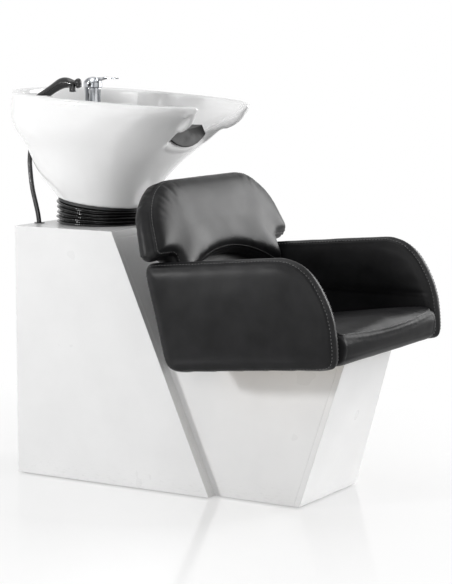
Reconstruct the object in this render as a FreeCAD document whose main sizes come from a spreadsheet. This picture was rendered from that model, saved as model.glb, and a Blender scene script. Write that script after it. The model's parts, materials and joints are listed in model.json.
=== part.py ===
import FreeCAD, Part
import math
import os
import re
import types

import Sketcher

# Salon hair washing bed: a ceramic basin that tilts on a cabinet, with a padded armchair in front of it.
# Millimetres. The origin lies on the floor, in the middle of the four anchor holes.
# +X is the left hand of the person in the seat, who looks along -Y. +Z is up.

Vector = FreeCAD.Vector

SIZES = {
    # Shared by all pieces
    "overrun": 4,
    "shaft_gap": 0.05,
    "bolt_gap": 0.1,
    "soft_edge": 2,
    # Cabinet
    "board": 16,
    "floor_gap": 3,
    "cabinet_half_width": 177,
    "cabinet_height": 640,
    "cabinet_rear": 290,
    "panel_thick": 6,
    "panel_gap": 0.5,
    "cabinet_top_reach": 5,
    "cabinet_foot_reach": 286,
    "well_radius": 95,
    "hose_port_x": 91,
    "hose_port_y": 275.5,
    "hose_port_radius": 10,
    "port_ring_radius": 13,
    "port_ring_height": 2.5,
    "slot_length": 10,
    "slot_width": 3,
    "slot_x": 112,
    "slot_y": 235,
    "catch_length": 12,
    "catch_width": 40,
    "catch_depth": 15,
    "catch_inset": 60,
    # Pedestal under the seat
    "pedestal_foot_half": 149,
    "pedestal_top_half": 124,
    "pedestal_rear_half": 145,
    "pedestal_foot_reach": 520,
    "pedestal_top_reach": 630,
    "pedestal_top_height": 364,
    "pedestal_board": 12,
    # Floor frame, feet and seat frame
    "rail_x": 108,
    "rail_width": 40,
    "rail_thick": 8,
    "rail_front_reach": 490,
    "rail_rear": 268,
    "rear_rail_width": 16,
    "front_bar_reach": 460,
    "rear_bar_reach": 310,
    "anchor_y": 200,
    "anchor_radius": 6,
    "foot_pad_radius": 14,
    "foot_inset": 30,
    "post_side": 30,
    "post_x": 80,
    "tube_wall": 2.5,
    "seat_rail_thick": 6,
    # Seat
    "seat_rear_reach": 300,
    "seat_low_reach": 255,
    "seat_front_reach": 689,
    "seat_low": 326,
    "seat_rise": 44,
    "seat_board_thick": 15,
    "seat_board_half": 256,
    "seat_board_front_reach": 640,
    "seat_half": 249.2,
    "seat_top_rear": 404,
    "seat_top_front": 462,
    "seat_nose": 11,
    "seat_crown": 8,
    "seat_edge": 14,
    "seat_rear_radius": 14,
    "seat_under_radius": 26,
    "seat_nose_radius": 40,
    # Arms
    "arm_inner": 250,
    "arm_outer": 305,
    "arm_seam_inset": 4,
    "arm_crown": 6,
    "arm_face_step": 8,
    "arm_face_inset": 28,
    "arm_rear_top_reach": 172,
    "arm_rear_top": 579,
    "arm_front_top_reach": 596,
    "arm_front_top": 619,
    "arm_front_mid_reach": 676,
    "arm_front_mid": 502,
    "arm_front_low_reach": 687,
    "arm_front_low": 370,
    "arm_rear_low_reach": 238,
    "arm_rear_low": 326,
    "arm_rear_top_radius": 24,
    "arm_front_top_radius": 115,
    "arm_front_mid_radius": 225,
    "arm_front_low_radius": 30,
    "arm_rear_low_radius": 42,
    "arm_board_thick": 12,
    "arm_board_front_reach": 600,
    "arm_board_rear_reach": 300,
    "arm_board_height": 150,
    # Backrest, measured on its reclined front plane from a point level with the arm tops
    "back_y_reach": 232,
    "back_z": 609,
    "back_recline": 22.4,
    "back_thick": 58,
    "back_half": 272,
    "back_ear_half": 320,
    "back_neck_half": 242,
    "back_top": 182,
    "back_ear_drop": 4,
    "back_low_drop": 93,
    "back_arch_top": 67,
    "back_corner_radius": 150,
    "back_ear_radius": 16,
    "back_neck_radius": 8,
    "back_low_radius": 12,
    "back_arch_radius": 398,
    "back_rear_inset": 8,
    "back_band_crown": 5,
    "back_seam_depth": 6,
    "back_crown": 11,
    "back_crown_inset": 18,
    "back_board_thick": 12,
    "back_board_half": 225,
    "back_board_top": 150,
    "back_board_radius": 60,
    "back_bracket_x": 120,
    "back_bracket_width": 40,
    "back_bracket_thick": 5,
    "back_bracket_height": 120,
    "back_bracket_foot": 45,
    # Bolts
    "bolt_radius": 4,
    "bolt_head_radius": 7,
    "bolt_head_height": 5,
    "seat_bolt_x": 80,
    "seat_bolt_front_reach": 560,
    "seat_bolt_rear_reach": 340,
    "arm_bolt_length": 60,
    "arm_bolt_rise": 8,
    # Basin stand and tilt hinge
    "basin_y": 142.5,
    "stand_post_side": 40,
    "stand_post_x": 100,
    "stand_top": 604,
    "stand_plate_half_x": 130,
    "stand_plate_half_y": 90,
    "stand_plate_thick": 6,
    "pass_radius": 60,
    "cradle_half_x": 95,
    "cradle_half_y": 70,
    "cradle_thick": 5,
    "ear_half_y": 22,
    "ear_thick": 6,
    "ear_x": 78,
    "pivot_z": 668,
    "pivot_radius": 6,
    "pivot_head_radius": 11,
    "pivot_head_height": 5,
    "bush_radius": 9,
    "bush_flange_radius": 13,
    "bush_flange_thick": 1.5,
    "ear_margin": 16,
    "cradle_ear_rise": 12,
    "tilt_plate_radius": 112,
    "tilt_plate_thick": 6,
    "tilt_ear_thick": 8,
    "tilt_bolt_ring": 98,
    # Basin: a boat shape from a round foot to a slanted rim
    "foot_radius": 117,
    "foot_z": 697,
    "foot_slope_share": 0.128,
    "rim_z": 972,
    "rim_slope_share": 0.068,
    "rim_centre_y": 95,
    "rim_half": 262,
    "rim_rear": 345,
    "rim_front_reach": 235,
    "rim_width": 19,
    "bowl_centre_y": 100,
    "bowl_floor_z": 744,
    "bowl_half": 243,
    "bowl_rear": 178,
    "bowl_front_reach": 213,
    "drain_y": 112,
    "deck_z": 926,
    "deck_thick": 16,
    "deck_wall": 16,
    "recess_radius": 84,
    "recess_top_z": 725,
    "chamber_wall": 7,
    "notch_reach": 112,
    "notch_floor_half": 90,
    "notch_mouth_half": 116,
    "notch_mouth_reach": 225,
    "notch_ridge_z": 882,
    "notch_side_z": 896,
    "notch_mouth_z": 955,
    "notch_inner_reach": 45,
    "neck_rest_thick": 5,
    "neck_rest_half": 88,
    "neck_rest_top_half": 66,
    "neck_rest_low": 842,
    "neck_rest_low_side": 872,
    "neck_rest_depth": 26,
    # Bellows under the basin
    "bellows_peak_radius": 115,
    "bellows_valley_radius": 109,
    "bellows_wall": 2.5,
    "clamp_ring_inner": 98,
    "clamp_ring_upper_inner": 84,
    "clamp_ring_height": 3,
    # Waste
    "tail_radius": 20,
    "tail_bore": 17.5,
    "tail_low_z": 640,
    "cup_radius": 30,
    "cup_bore": 27,
    "cup_low_z": 732,
    "cup_floor": 3,
    "flange_radius": 38,
    "flange_thick": 2.5,
    "drain_radius": 31,
    "waste_nut_radius": 34,
    "waste_nut_height": 10,
    "strainer_radius": 26.5,
    "strainer_thick": 2.5,
    "strainer_hole_radius": 2.6,
    "strainer_hole_ring": 16,
    "strainer_knob_radius": 4,
    "strainer_knob_height": 9,
    "waste_hose_radius": 21,
    "trap_radius": 32,
    "trap_top_z": 300,
    "trap_low_z": 200,
    "trap_neck_height": 30,
    "trap_outlet_y": 200,
    "trap_outlet_z": 268,
    "trap_outlet_low_z": 40,
    "outlet_length": 35,
    "outlet_bead_radius": 23,
    "outlet_bead_height": 4,
    "trap_bracket_z": 246,
    "trap_bracket_thick": 4,
    "trap_bracket_half_y": 42,
    # Water inlets
    "inlet_x": 45,
    "inlet_y": 236,
    "inlet_low_z": 95,
    "inlet_radius": 12,
    "inlet_height": 55,
    "inlet_thread_radius": 10.48,
    "inlet_thread_length": 14,
    "inlet_tail_radius": 8,
    "inlet_tail_length": 15,
    "inlet_boss_radius": 9,
    "pipe_plate_y": 252,
    "pipe_plate_thick": 4,
    "pipe_plate_half": 80,
    "pipe_plate_top": 160,
    "supply_radius": 5,
    # Mixer tap
    "mixer_x": 55,
    "mixer_y": 206,
    "mixer_radius": 23,
    "mixer_waist_radius": 20.5,
    "mixer_foot_height": 5,
    "mixer_height": 58,
    "mixer_wall": 4,
    "mixer_shank_radius": 13.5,
    "mixer_shank_length": 33,
    "mixer_hole_radius": 14.5,
    "mixer_nut_radius": 20.5,
    "mixer_nut_height": 9,
    "shank_port_x": 6,
    "shank_port_y": 4,
    "shank_outlet_reach": 7,
    "cartridge_height": 26,
    "cap_height": 14,
    "cap_radius": 24.5,
    "cap_lug_half": 4,
    "cap_lug_reach": 16,
    "cap_lug_height": 7,
    "lever_pin_radius": 1.5,
    "lever_pin_rise": 3.5,
    "lever_pin_half": 9,
    "lever_dome_height": 14,
    "lever_gap": 0.4,
    "lever_length": 82,
    "lever_width": 17,
    "lever_thick": 5,
    "lever_tip_width": 12,
    "lever_root_thick": 11,
    "port_ring_bore_gap": 1.2,
    # Hand shower
    "handset_x": 78,
    "handset_y": 294,
    "handset_reach": 140,
    "handset_rise": 74,
    "handset_radius": 11,
    "handset_tail_radius": 9,
    "handset_tail_depth": 11,
    "nozzle_radius": 8.5,
    "nozzle_length": 12,
    "nozzle_back_share": 0.84,
    "socket_radius": 17,
    "socket_height": 4,
    "socket_sleeve_radius": 13,
    "socket_sleeve_depth": 24,
    "shower_hose_radius": 6,
    "hose_way_radius": 9,
    "hose_exit_z": 832,
    "hose_exit_x": 80,
    "hose_exit_y": 308,
    "hose_exit_run": 27,
}

# Shares: pure numbers that place points between the named sizes
BASIN_LEVEL_SHARES = [
    # height, width, rear, front, centre, rear roundness, front roundness
    (0.0, 0.0, 0.0, 0.0, 0.0, 2.0, 2.0),
    (0.156, 0.214, 0.368, 0.102, 0.011, 2.0, 2.0),
    (0.320, 0.421, 0.649, 0.228, 0.053, 2.05, 2.0),
    (0.484, 0.607, 0.766, 0.409, 0.053, 2.1, 2.0),
    (0.629, 0.814, 0.918, 0.597, -0.053, 2.2, 2.05),
    (0.738, 0.931, 1.0, 0.720, 0.263, 2.3, 2.2),
    (0.865, 0.993, 1.0, 0.866, 0.684, 2.3, 2.6),
    (0.949, 1.0, 1.0, 0.981, 0.937, 2.3, 2.9),
    (1.0, 1.0, 1.0, 1.0, 1.0, 2.3, 3.0),
]
BOWL_LEVEL_SHARES = [
    # height, width, rear, front, slope, rear roundness, front roundness
    (0.0, 0.27, 0.74, 0.16, 0.0, 2.0, 2.0),
    (0.09, 0.44, 0.86, 0.31, 0.0, 2.0, 2.0),
    (0.24, 0.63, 0.92, 0.455, 0.3, 2.0, 2.0),
    (0.42, 0.81, 0.96, 0.575, 0.8, 2.1, 2.0),
    (0.60, 0.93, 0.985, 0.665, 1.0, 2.2, 2.1),
    (0.74, 0.98, 0.995, 0.80, 1.0, 2.3, 2.5),
    (1.05, 1.0, 1.0, 1.0, 1.0, 2.4, 2.9),
]
RIB_SHARES = [(0.0, 0.0), (0.28, 0.8), (0.5, 1.0), (0.72, 0.8)]
HANDSET_SHARES = [
    # reach, rise above the socket, radius, angle of the centre line above level in degrees
    (0.0, 0.0, 0.88, 90),
    (0.01, 0.154, 0.85, 84),
    (0.05, 0.323, 0.88, 62),
    (0.19, 0.524, 0.96, 36),
    (0.48, 0.852, 1.0, 26),
    (0.74, 1.0, 1.08, 6),
    (0.89, 0.979, 1.04, -34),
    (0.985, 0.852, 0.62, -62),
]
LEVER_DOME_SHARE = 0.45
LEVER_RELIEF_SHARE = 0.36
NOTCH_HALF_SHARE = 0.5
SIDES = {"right": -1, "left": 1}
RIB_COUNT = 5
OUTLINE_POINTS = 24
STRAINER_HOLES = 8
PLATE_BOLTS = 4

doc = FreeCAD.newDocument("hair_washing_bed")
sheet = doc.addObject("Spreadsheet::Sheet", "Sizes")
for row, (name, value) in enumerate(SIZES.items(), start=1):
    sheet.set(f"A{row}", name)
    sheet.set(f"B{row}", str(value))
    sheet.setAlias(f"B{row}", name)
doc.recompute()
size = types.SimpleNamespace(**{name: float(sheet.get(name)) for name in SIZES})
WORD = re.compile(r"[a-z_]+")
nodes = []


def formula(text):
    """Point each size name in an expression at its cell."""
    return WORD.sub(lambda word: "Sizes." + word.group() if word.group() in SIZES else word.group(), str(text))


def bind(item, **values):
    """Bind properties of an object to expressions in size names."""
    for prop, text in values.items():
        item.setExpression(prop, formula(text))
    return item


def place(item, x=0, y=0, z=0):
    """Bind the place of an object."""
    for axis, text in zip("xyz", (x, y, z)):
        item.setExpression(f"Placement.Base.{axis}", formula(text))
    return item


def node(item, label):
    """Name an object as a piece that is written out."""
    item.Label = label
    nodes.append(item)
    return item


def box(x, y, z, length, width, height):
    """A block with its low corner at x, y, z."""
    item = bind(doc.addObject("Part::Box", "block"), Length=length, Width=width, Height=height)
    return place(item, x, y, z)


AXIS_TURNS = {
    "z": FreeCAD.Rotation(),
    "x": FreeCAD.Rotation(Vector(0, 1, 0), 90),
    "y": FreeCAD.Rotation(Vector(1, 0, 0), -90),
}


def rod(radius, height, x=0, y=0, z=0, axis="z"):
    """A round bar that runs along an axis from x, y, z."""
    item = bind(doc.addObject("Part::Cylinder", "rod"), Radius=radius, Height=height)
    item.Placement = FreeCAD.Placement(Vector(), AXIS_TURNS[axis])
    return place(item, x, y, z)


def hexagon(radius, height, x=0, y=0, z=0, axis="z"):
    """A six-sided bar that runs along an axis from x, y, z."""
    item = bind(doc.addObject("Part::Prism", "hexagon"), Circumradius=radius, Height=height)
    item.Placement = FreeCAD.Placement(Vector(), AXIS_TURNS[axis])
    return place(item, x, y, z)


def fuse(*items):
    """One solid from several that touch."""
    result = doc.addObject("Part::MultiFuse", "fusion")
    result.Shapes = list(items)
    return result


def group(*items):
    """Several separate solids as one piece."""
    result = doc.addObject("Part::Compound", "set")
    result.Links = list(items)
    return result


def cut(base, *tools):
    """A solid less the tools."""
    result = doc.addObject("Part::Cut", "cut")
    result.Base = base
    result.Tool = tools[0] if len(tools) == 1 else fuse(*tools)
    return result


def feature(shape, label):
    """A piece whose shape is worked out here."""
    item = doc.addObject("Part::Feature", label)
    item.Shape = shape
    return node(item, label)


def origin_plane(body, role):
    """One of a body's own planes."""
    return next(item for item in body.Origin.OriginFeatures if item.Role == role)


def sketch(body, role, loops=(), circles=(), offset=None):
    """A sketch of closed polygons and circles, held by size names."""
    item = body.newObject("Sketcher::SketchObject", "profile")
    item.AttachmentSupport = (origin_plane(body, role), [""])
    item.MapMode = "FlatFace"
    if offset is not None:
        item.setExpression("AttachmentOffset.Base.z", formula(offset))
    for loop in loops:
        add_loop(item, loop)
    for x, y, radius in circles:
        index = item.addGeometry(Part.Circle(Vector(1, 1, 0), Vector(0, 0, 1), 1), False)
        for kind, text in (("DistanceX", x), ("DistanceY", y)):
            hold(item, Sketcher.Constraint(kind, -1, 1, index, 3, 1.0), text)
        hold(item, Sketcher.Constraint("Radius", index, 1.0), radius)
    return item


def hold(item, constraint, text):
    """Add a constraint and bind it to an expression."""
    index = item.addConstraint(constraint)
    item.setExpression(f"Constraints[{index}]", formula(text))


def add_loop(item, loop):
    """Add a closed polygon whose corners are pairs of expressions."""
    count = len(loop)
    first = item.GeometryCount
    turn = 2 * math.pi / count
    corners = [Vector(math.cos(turn * i), math.sin(turn * i), 0) for i in range(count)]
    for i in range(count):
        item.addGeometry(Part.LineSegment(corners[i], corners[(i + 1) % count]), False)
    for i in range(count):
        item.addConstraint(Sketcher.Constraint("Coincident", first + i, 2, first + (i + 1) % count, 1))
    for i, (x, y) in enumerate(loop):
        hold(item, Sketcher.Constraint("DistanceX", -1, 1, first + i, 1, 1.0), x)
        hold(item, Sketcher.Constraint("DistanceY", -1, 1, first + i, 1, 1.0), y)


def rectangle(x_low, x_high, y_low, y_high):
    """The four corners of a rectangle."""
    return [(x_low, y_low), (x_high, y_low), (x_high, y_high), (x_low, y_high)]


def new_body(label):
    """A body that is written out as a piece."""
    return node(doc.addObject("PartDesign::Body", label), label)


def pad(body, profile, length):
    """Thicken a sketch along its normal."""
    item = body.newObject("PartDesign::Pad", "pad")
    item.Profile = profile
    return bind(item, Length=length)


def pocket(body, profile, length, reverse=False):
    """Sink a sketch into the solid, against its normal unless reversed."""
    item = body.newObject("PartDesign::Pocket", "pocket")
    item.Profile = profile
    item.Reversed = reverse
    return bind(item, Length=length)


def revolve(body, loop):
    """Turn an outline of radius and height about the body's own Z axis."""
    item = body.newObject("PartDesign::Revolution", "turned")
    item.Profile = sketch(body, "XZ_Plane", loops=[loop])
    item.ReferenceAxis = (item.Profile[0], ["V_Axis"])
    item.Angle = 360
    return item


# Slopes that several pieces follow
def slant_y(z):
    """Where the cabinet's slanted front stands at a height."""
    run = size.cabinet_foot_reach - size.cabinet_top_reach
    return -size.cabinet_foot_reach + run * z / size.cabinet_height


seat_slope = size.seat_rise / (size.seat_front_reach - size.seat_low_reach)
pedestal_lean = (size.pedestal_top_reach - size.pedestal_foot_reach) / size.pedestal_top_height
cabinet_lean = -(size.cabinet_foot_reach - size.cabinet_top_reach) / size.cabinet_height


def seat_line(y, drop=0):
    """Height of the seat's sloping underside, less a drop."""
    return size.seat_low + seat_slope * (-y - size.seat_low_reach) - drop


def meet_seat_line(reach, lean, drop=0):
    """Where a leaning line from the floor meets the seat line."""
    z = size.seat_low - drop + seat_slope * (reach - size.seat_low_reach)
    z = z / (1 - seat_slope * lean)
    return -(reach + lean * z), z


def polygon(points):
    """A flat closed wire through points."""
    return Part.makePolygon(list(points) + [points[0]])


def slab(low, high):
    """A solid between two polygons of as many corners."""
    return Part.makeLoft([polygon(low), polygon(high)], True, True)


def cabinet():
    """White boards: two sides, a slanted front, a top with its openings, and a rear panel that lifts off."""
    lean = "(cabinet_foot_reach - cabinet_top_reach) / cabinet_height"
    foot = f"-cabinet_foot_reach + {lean} * floor_gap"
    under = "(cabinet_height - board)"
    head = f"-cabinet_foot_reach + {lean} * {under}"
    tip = "-cabinet_top_reach"
    outline = [(foot, "floor_gap"), ("cabinet_rear", "floor_gap")]
    outline += [("cabinet_rear", "cabinet_height"), (tip, "cabinet_height")]
    for side, sign in SIDES.items():
        body = new_body(f"cabinet_side_{side}")
        pad(body, sketch(body, "YZ_Plane", loops=[outline]), "board")
        place(body, x="-cabinet_half_width" if sign < 0 else "cabinet_half_width - board")
    inner = "2 * (cabinet_half_width - board)"
    thick = f"board * sqrt(1 + ({lean}) ^ 2)"
    body = new_body("cabinet_front")
    outline = [(foot, "floor_gap"), (f"{foot} + {thick}", "floor_gap"), (f"{head} + {thick}", under), (head, under)]
    pad(body, sketch(body, "YZ_Plane", loops=[outline]), inner)
    place(body, x="board - cabinet_half_width")
    notches = []
    for x in ("-rail_x", "rail_x"):
        middle = f"cabinet_half_width - board + {x}"
        low = f"{middle} - rail_width / 2 - bolt_gap"
        high = f"{middle} + rail_width / 2 + bolt_gap"
        notches.append(rectangle(low, high, "-cabinet_foot_reach - board", "-cabinet_foot_reach + 3 * board"))
    notches = sketch(body, "XY_Plane", loops=notches, offset="floor_gap + rail_thick + bolt_gap")
    pocket(body, notches, "floor_gap + rail_thick")
    body = new_body("cabinet_top")
    outline = [(head, under), ("cabinet_rear", under), ("cabinet_rear", "cabinet_height"), (tip, "cabinet_height")]
    pad(body, sketch(body, "YZ_Plane", loops=[outline]), inner)
    place(body, x="board - cabinet_half_width")
    middle = "cabinet_half_width - board"
    holes = [(middle, "basin_y", "well_radius")]
    holes += [(f"{middle} - hose_port_x", "hose_port_y", "hose_port_radius")]
    slot = rectangle(
        f"{middle} - slot_x - slot_length / 2",
        f"{middle} - slot_x + slot_length / 2",
        "slot_y - slot_width / 2",
        "slot_y + slot_width / 2",
    )
    holes = sketch(body, "XY_Plane", loops=[slot], circles=holes, offset="cabinet_height + overrun")
    pocket(body, holes, "board + 2 * overrun")
    body = new_body("access_panel")
    edge = "cabinet_half_width - board - panel_gap"
    outline = rectangle(f"-({edge})", edge, "floor_gap", f"{under} - panel_gap")
    pad(body, sketch(body, "XZ_Plane", loops=[outline], offset="-cabinet_rear"), "panel_thick")
    catches = []
    for sign in SIDES.values():
        inner = "board - cabinet_half_width" if sign < 0 else "cabinet_half_width - board - catch_length"
        for z in ("catch_inset", "cabinet_height - board - catch_inset - catch_width"):
            y = "cabinet_rear - panel_thick - catch_depth"
            catches.append(box(inner, y, z, "catch_length", "catch_depth", "catch_width"))
    node(group(*catches), "panel_catches")
    body = new_body("hose_port_ring")
    gap = "shower_hose_radius + port_ring_bore_gap"
    rim = "port_ring_radius"
    revolve(body, [(gap, 0), (rim, 0), (rim, "port_ring_height"), (gap, "port_ring_height")])
    place(body, "-hose_port_x", "hose_port_y", "cabinet_height")


def pedestal():
    """Three leaning boards and a sloping top board that carries the seat."""
    thick = size.board
    front_reach = size.pedestal_foot_reach
    foot_z = size.floor_gap
    rear_half = size.pedestal_rear_half

    def half(z):
        narrowing = size.pedestal_foot_half - size.pedestal_top_half
        return size.pedestal_foot_half - narrowing * z / size.pedestal_top_height

    def ring(reach_shift, rear_shift, side_in, drop):
        """Corners of the pedestal on the floor plane and on the seat line."""
        low_front = -(front_reach + pedestal_lean * foot_z) + reach_shift
        low_rear = slant_y(foot_z) - rear_shift
        front_y, front_z = meet_seat_line(front_reach - reach_shift, pedestal_lean, drop)
        rear_y, rear_z = meet_seat_line(size.cabinet_foot_reach + rear_shift, cabinet_lean, drop)
        low = (low_front, half(foot_z) - side_in, low_rear, rear_half - side_in)
        high = (front_y, front_z, half(front_z) - side_in, rear_y, rear_z, rear_half - side_in)
        return low, high

    drop = size.pedestal_board
    low, high = ring(0, 0, 0, drop)
    behind, behind_high = ring(thick, 0, 0, drop)
    inner, inner_high = ring(thick, 0, thick, drop)
    for side, sign in SIDES.items():
        low_quad = [
            Vector(sign * behind[1], behind[0], foot_z),
            Vector(sign * inner[1], inner[0], foot_z),
            Vector(sign * inner[3], inner[2], foot_z),
            Vector(sign * behind[3], behind[2], foot_z),
        ]
        high_quad = [
            Vector(sign * behind_high[2], behind_high[0], behind_high[1]),
            Vector(sign * inner_high[2], inner_high[0], inner_high[1]),
            Vector(sign * inner_high[5], inner_high[3], inner_high[4]),
            Vector(sign * behind_high[5], behind_high[3], behind_high[4]),
        ]
        feature(slab(low_quad, high_quad), f"pedestal_side_{side}")
    low_quad = [Vector(sign * low[1], low[0], foot_z) for sign in (-1, 1)]
    low_quad += [Vector(sign * behind[1], behind[0], foot_z) for sign in (1, -1)]
    high_quad = [Vector(sign * high[2], high[0], high[1]) for sign in (-1, 1)]
    high_quad += [Vector(sign * behind_high[2], behind_high[0], behind_high[1]) for sign in (1, -1)]
    feature(slab(low_quad, high_quad), "pedestal_front")
    _, top = ring(0, 0, 0, 0)
    bolts = [seat_bolt(sign * size.seat_bolt_x, y) for sign in SIDES.values() for y in seat_bolt_places()]
    quads = []
    for level in (high, top):
        quad = [Vector(sign * level[2], level[0], level[1]) for sign in (-1, 1)]
        quads.append(quad + [Vector(sign * level[5], level[3], level[4]) for sign in (1, -1)])
    feature(slab(*quads).cut(bolts), "pedestal_top")


def floor_frame():
    """A ladder of flat steel bars with four anchor holes, on screw feet."""
    out = "rail_x + rail_width / 2"
    inn = "rail_x - rail_width / 2"
    body = new_body("floor_frame")
    loops = [rectangle("-(" + out + ")", out, "-rail_front_reach", "rail_rear")]
    bars = ["-front_bar_reach", "-rear_bar_reach", "basin_y"]
    for near, far in zip(bars, bars[1:]):
        loops.append(rectangle("-(" + inn + ")", inn, near + " + rail_width / 2", far + " - rail_width / 2"))
    loops.append(rectangle("-(" + inn + ")", inn, "basin_y + rail_width / 2", "rail_rear - rear_rail_width"))
    holes = [(x, y, "anchor_radius") for x in ("-rail_x", "rail_x") for y in ("-anchor_y", "anchor_y")]
    pad(body, sketch(body, "XY_Plane", loops=loops, circles=holes, offset="floor_gap"), "rail_thick")
    feet = []
    for x in ("-rail_x", "rail_x"):
        for y in ("foot_inset - rail_front_reach", "0", "rail_rear - foot_inset"):
            feet.append(rod("foot_pad_radius", "floor_gap", x, y))
        for y in ("-anchor_y", "anchor_y"):
            disc = rod("foot_pad_radius", "floor_gap", x, y)
            way = rod("anchor_radius", "floor_gap + 2 * overrun", x, y, "-overrun")
            feet.append(cut(disc, way))
    node(group(*feet), "levelling_feet")


def square_tube(x, y, side, low_z, drop):
    """An upright square tube from the floor frame to the seat line."""
    def prism(half):
        corners = [(x - half, y - half), (x + half, y - half), (x + half, y + half), (x - half, y + half)]
        low = [Vector(cx, cy, low_z) for cx, cy in corners]
        return slab(low, [Vector(cx, cy, seat_line(cy, drop)) for cx, cy in corners])

    return prism(side / 2).cut(prism(side / 2 - size.tube_wall))


def seat_frame():
    """Four posts under two sloping flat rails, joined by two cross rails."""
    low_z = size.floor_gap + size.rail_thick
    drop = size.pedestal_board + size.seat_rail_thick
    half = size.post_side / 2
    front_y = -size.front_bar_reach
    rear_y = -size.rear_bar_reach
    for side, sign in SIDES.items():
        x = sign * size.post_x
        parts = [square_tube(x, y, size.post_side, low_z, drop) for y in (front_y, rear_y)]
        ends = (front_y - half, rear_y + half)
        quads = []
        for level in (drop, size.pedestal_board):
            corners = [(x - half, ends[0]), (x + half, ends[0]), (x + half, ends[1]), (x - half, ends[1])]
            quads.append([Vector(cx, cy, seat_line(cy, level)) for cx, cy in corners])
        bolts = [seat_bolt(sign * size.seat_bolt_x, y) for y in seat_bolt_places()]
        feature(slab(*quads).fuse(parts).cut(bolts), f"seat_frame_{side}")


def rounded(points, radii, inset, to_space):
    """A closed wire round a polygon, moved in by an inset, with its corners rounded.

    The corners run anticlockwise. A corner that turns inward takes the inset the other way.
    """
    count = len(points)
    lines = []
    for i in range(count):
        (ax, ay), (bx, by) = points[i], points[(i + 1) % count]
        length = math.hypot(bx - ax, by - ay)
        ux, uy = (bx - ax) / length, (by - ay) / length
        lines.append((ax - uy * inset, ay + ux * inset, ux, uy))
    moved = []
    for i in range(count):
        ax, ay, ux, uy = lines[i - 1]
        bx, by, vx, vy = lines[i]
        cross = ux * vy - uy * vx
        along = ((bx - ax) * vy - (by - ay) * vx) / cross
        turn = math.atan2(cross, ux * vx + uy * vy)
        corner = (ax + ux * along, ay + uy * along)
        radius = max(radii[i] - math.copysign(inset, turn), size.soft_edge)
        reach = radius * math.tan(abs(turn) / 2)
        middle = radius * (1 / math.cos(turn / 2) - 1)
        bx, by = vx - ux, vy - uy
        norm = math.hypot(bx, by)
        start = (corner[0] - ux * reach, corner[1] - uy * reach)
        end = (corner[0] + vx * reach, corner[1] + vy * reach)
        top = (corner[0] + bx / norm * middle, corner[1] + by / norm * middle)
        moved.append((start, top, end))
    edges = []
    for i, (start, top, end) in enumerate(moved):
        edges.append(Part.Arc(to_space(*start), to_space(*top), to_space(*end)).toShape())
        edges.append(Part.LineSegment(to_space(*end), to_space(*moved[(i + 1) % count][0])).toShape())
    return Part.Wire(edges)


def pillow(points, radii, levels, to_space):
    """A padded form: rounded outlines, each with its depth and inset, joined in turn."""
    wires = []
    for depth, inset in levels:
        wires.append(rounded(points, radii, inset, lambda a, b, depth=depth: to_space(a, b, depth)))
    return Part.makeLoft(wires, True, True)


def seat():
    """Plywood board and a cushion that wraps over it, with a crown and a rolled front."""
    half = size.seat_board_half
    ends = (-size.seat_board_front_reach, -size.seat_rear_reach)
    quads = []
    for rise in (0, size.seat_board_thick):
        corners = [(-half, ends[0]), (half, ends[0]), (half, ends[1]), (-half, ends[1])]
        quads.append([Vector(x, y, seat_line(y, -rise)) for x, y in corners])
    board = slab(*quads)
    holes = [seat_bolt(sign * size.seat_bolt_x, y) for sign in SIDES.values() for y in seat_bolt_places()]
    holes += [arm_bolt(sign, y, size.bolt_gap) for sign in SIDES.values() for y in arm_bolt_places()]
    feature(board.cut(holes), "seat_board")
    front = -size.seat_front_reach
    radii = [size.seat_rear_radius, size.seat_nose_radius, size.seat_under_radius, size.seat_rear_radius]

    def outline(lift):
        rear = -size.seat_rear_reach
        nose = front - size.seat_nose
        return [
            (rear, size.seat_top_rear + lift),
            (nose, size.seat_top_front + lift),
            (front, seat_line(front)),
            (rear, seat_line(rear)),
        ]

    wires = []
    for x, lift, inset in (
        (-size.seat_half, 0, size.seat_edge / 2),
        (size.seat_edge - size.seat_half, 0, 0),
        (0, size.seat_crown, 0),
        (size.seat_half - size.seat_edge, 0, 0),
        (size.seat_half, 0, size.seat_edge / 2),
    ):
        wires.append(rounded(outline(lift), radii, inset, lambda a, b, x=x: Vector(x, a, b)))
    cushion = Part.makeLoft(wires, True, True)
    feature(cushion.cut(board), "seat_cushion")


def seat_bolt_places():
    """How far forward the seat board is bolted down."""
    return (-size.seat_bolt_front_reach, -size.seat_bolt_rear_reach)


def seat_bolt(x, y):
    """A bolt square to the seat line, from under the seat rail into the seat board."""
    up = Vector(0, seat_slope, 1).normalize()
    under = Vector(x, y, seat_line(y)) - up * ((size.pedestal_board + size.seat_rail_thick) * up.z)
    length = (size.pedestal_board + size.seat_rail_thick) * up.z + size.seat_board_thick * up.z
    shank = Part.makeCylinder(size.bolt_radius, length, under, up)
    return shank.fuse(Part.makeCylinder(size.bolt_head_radius, size.bolt_head_height, under, up * -1))


def arm_bolt_places():
    """Where each arm is bolted to the edge of the seat board."""
    third = (size.arm_board_front_reach - size.arm_board_rear_reach) / 3
    return [-(size.arm_board_rear_reach + third), -(size.arm_board_rear_reach + 2 * third)]


def arm_bolt(sign, y, gap=0):
    """A bolt from the arm's board into the edge of the seat board."""
    outer = size.seat_board_half + size.arm_board_thick
    z = seat_line(y, -size.arm_bolt_rise)
    start = Vector(sign * outer, y, z)
    return Part.makeCylinder(size.bolt_radius + gap, size.arm_bolt_length, start, Vector(-sign, 0, 0))


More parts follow.
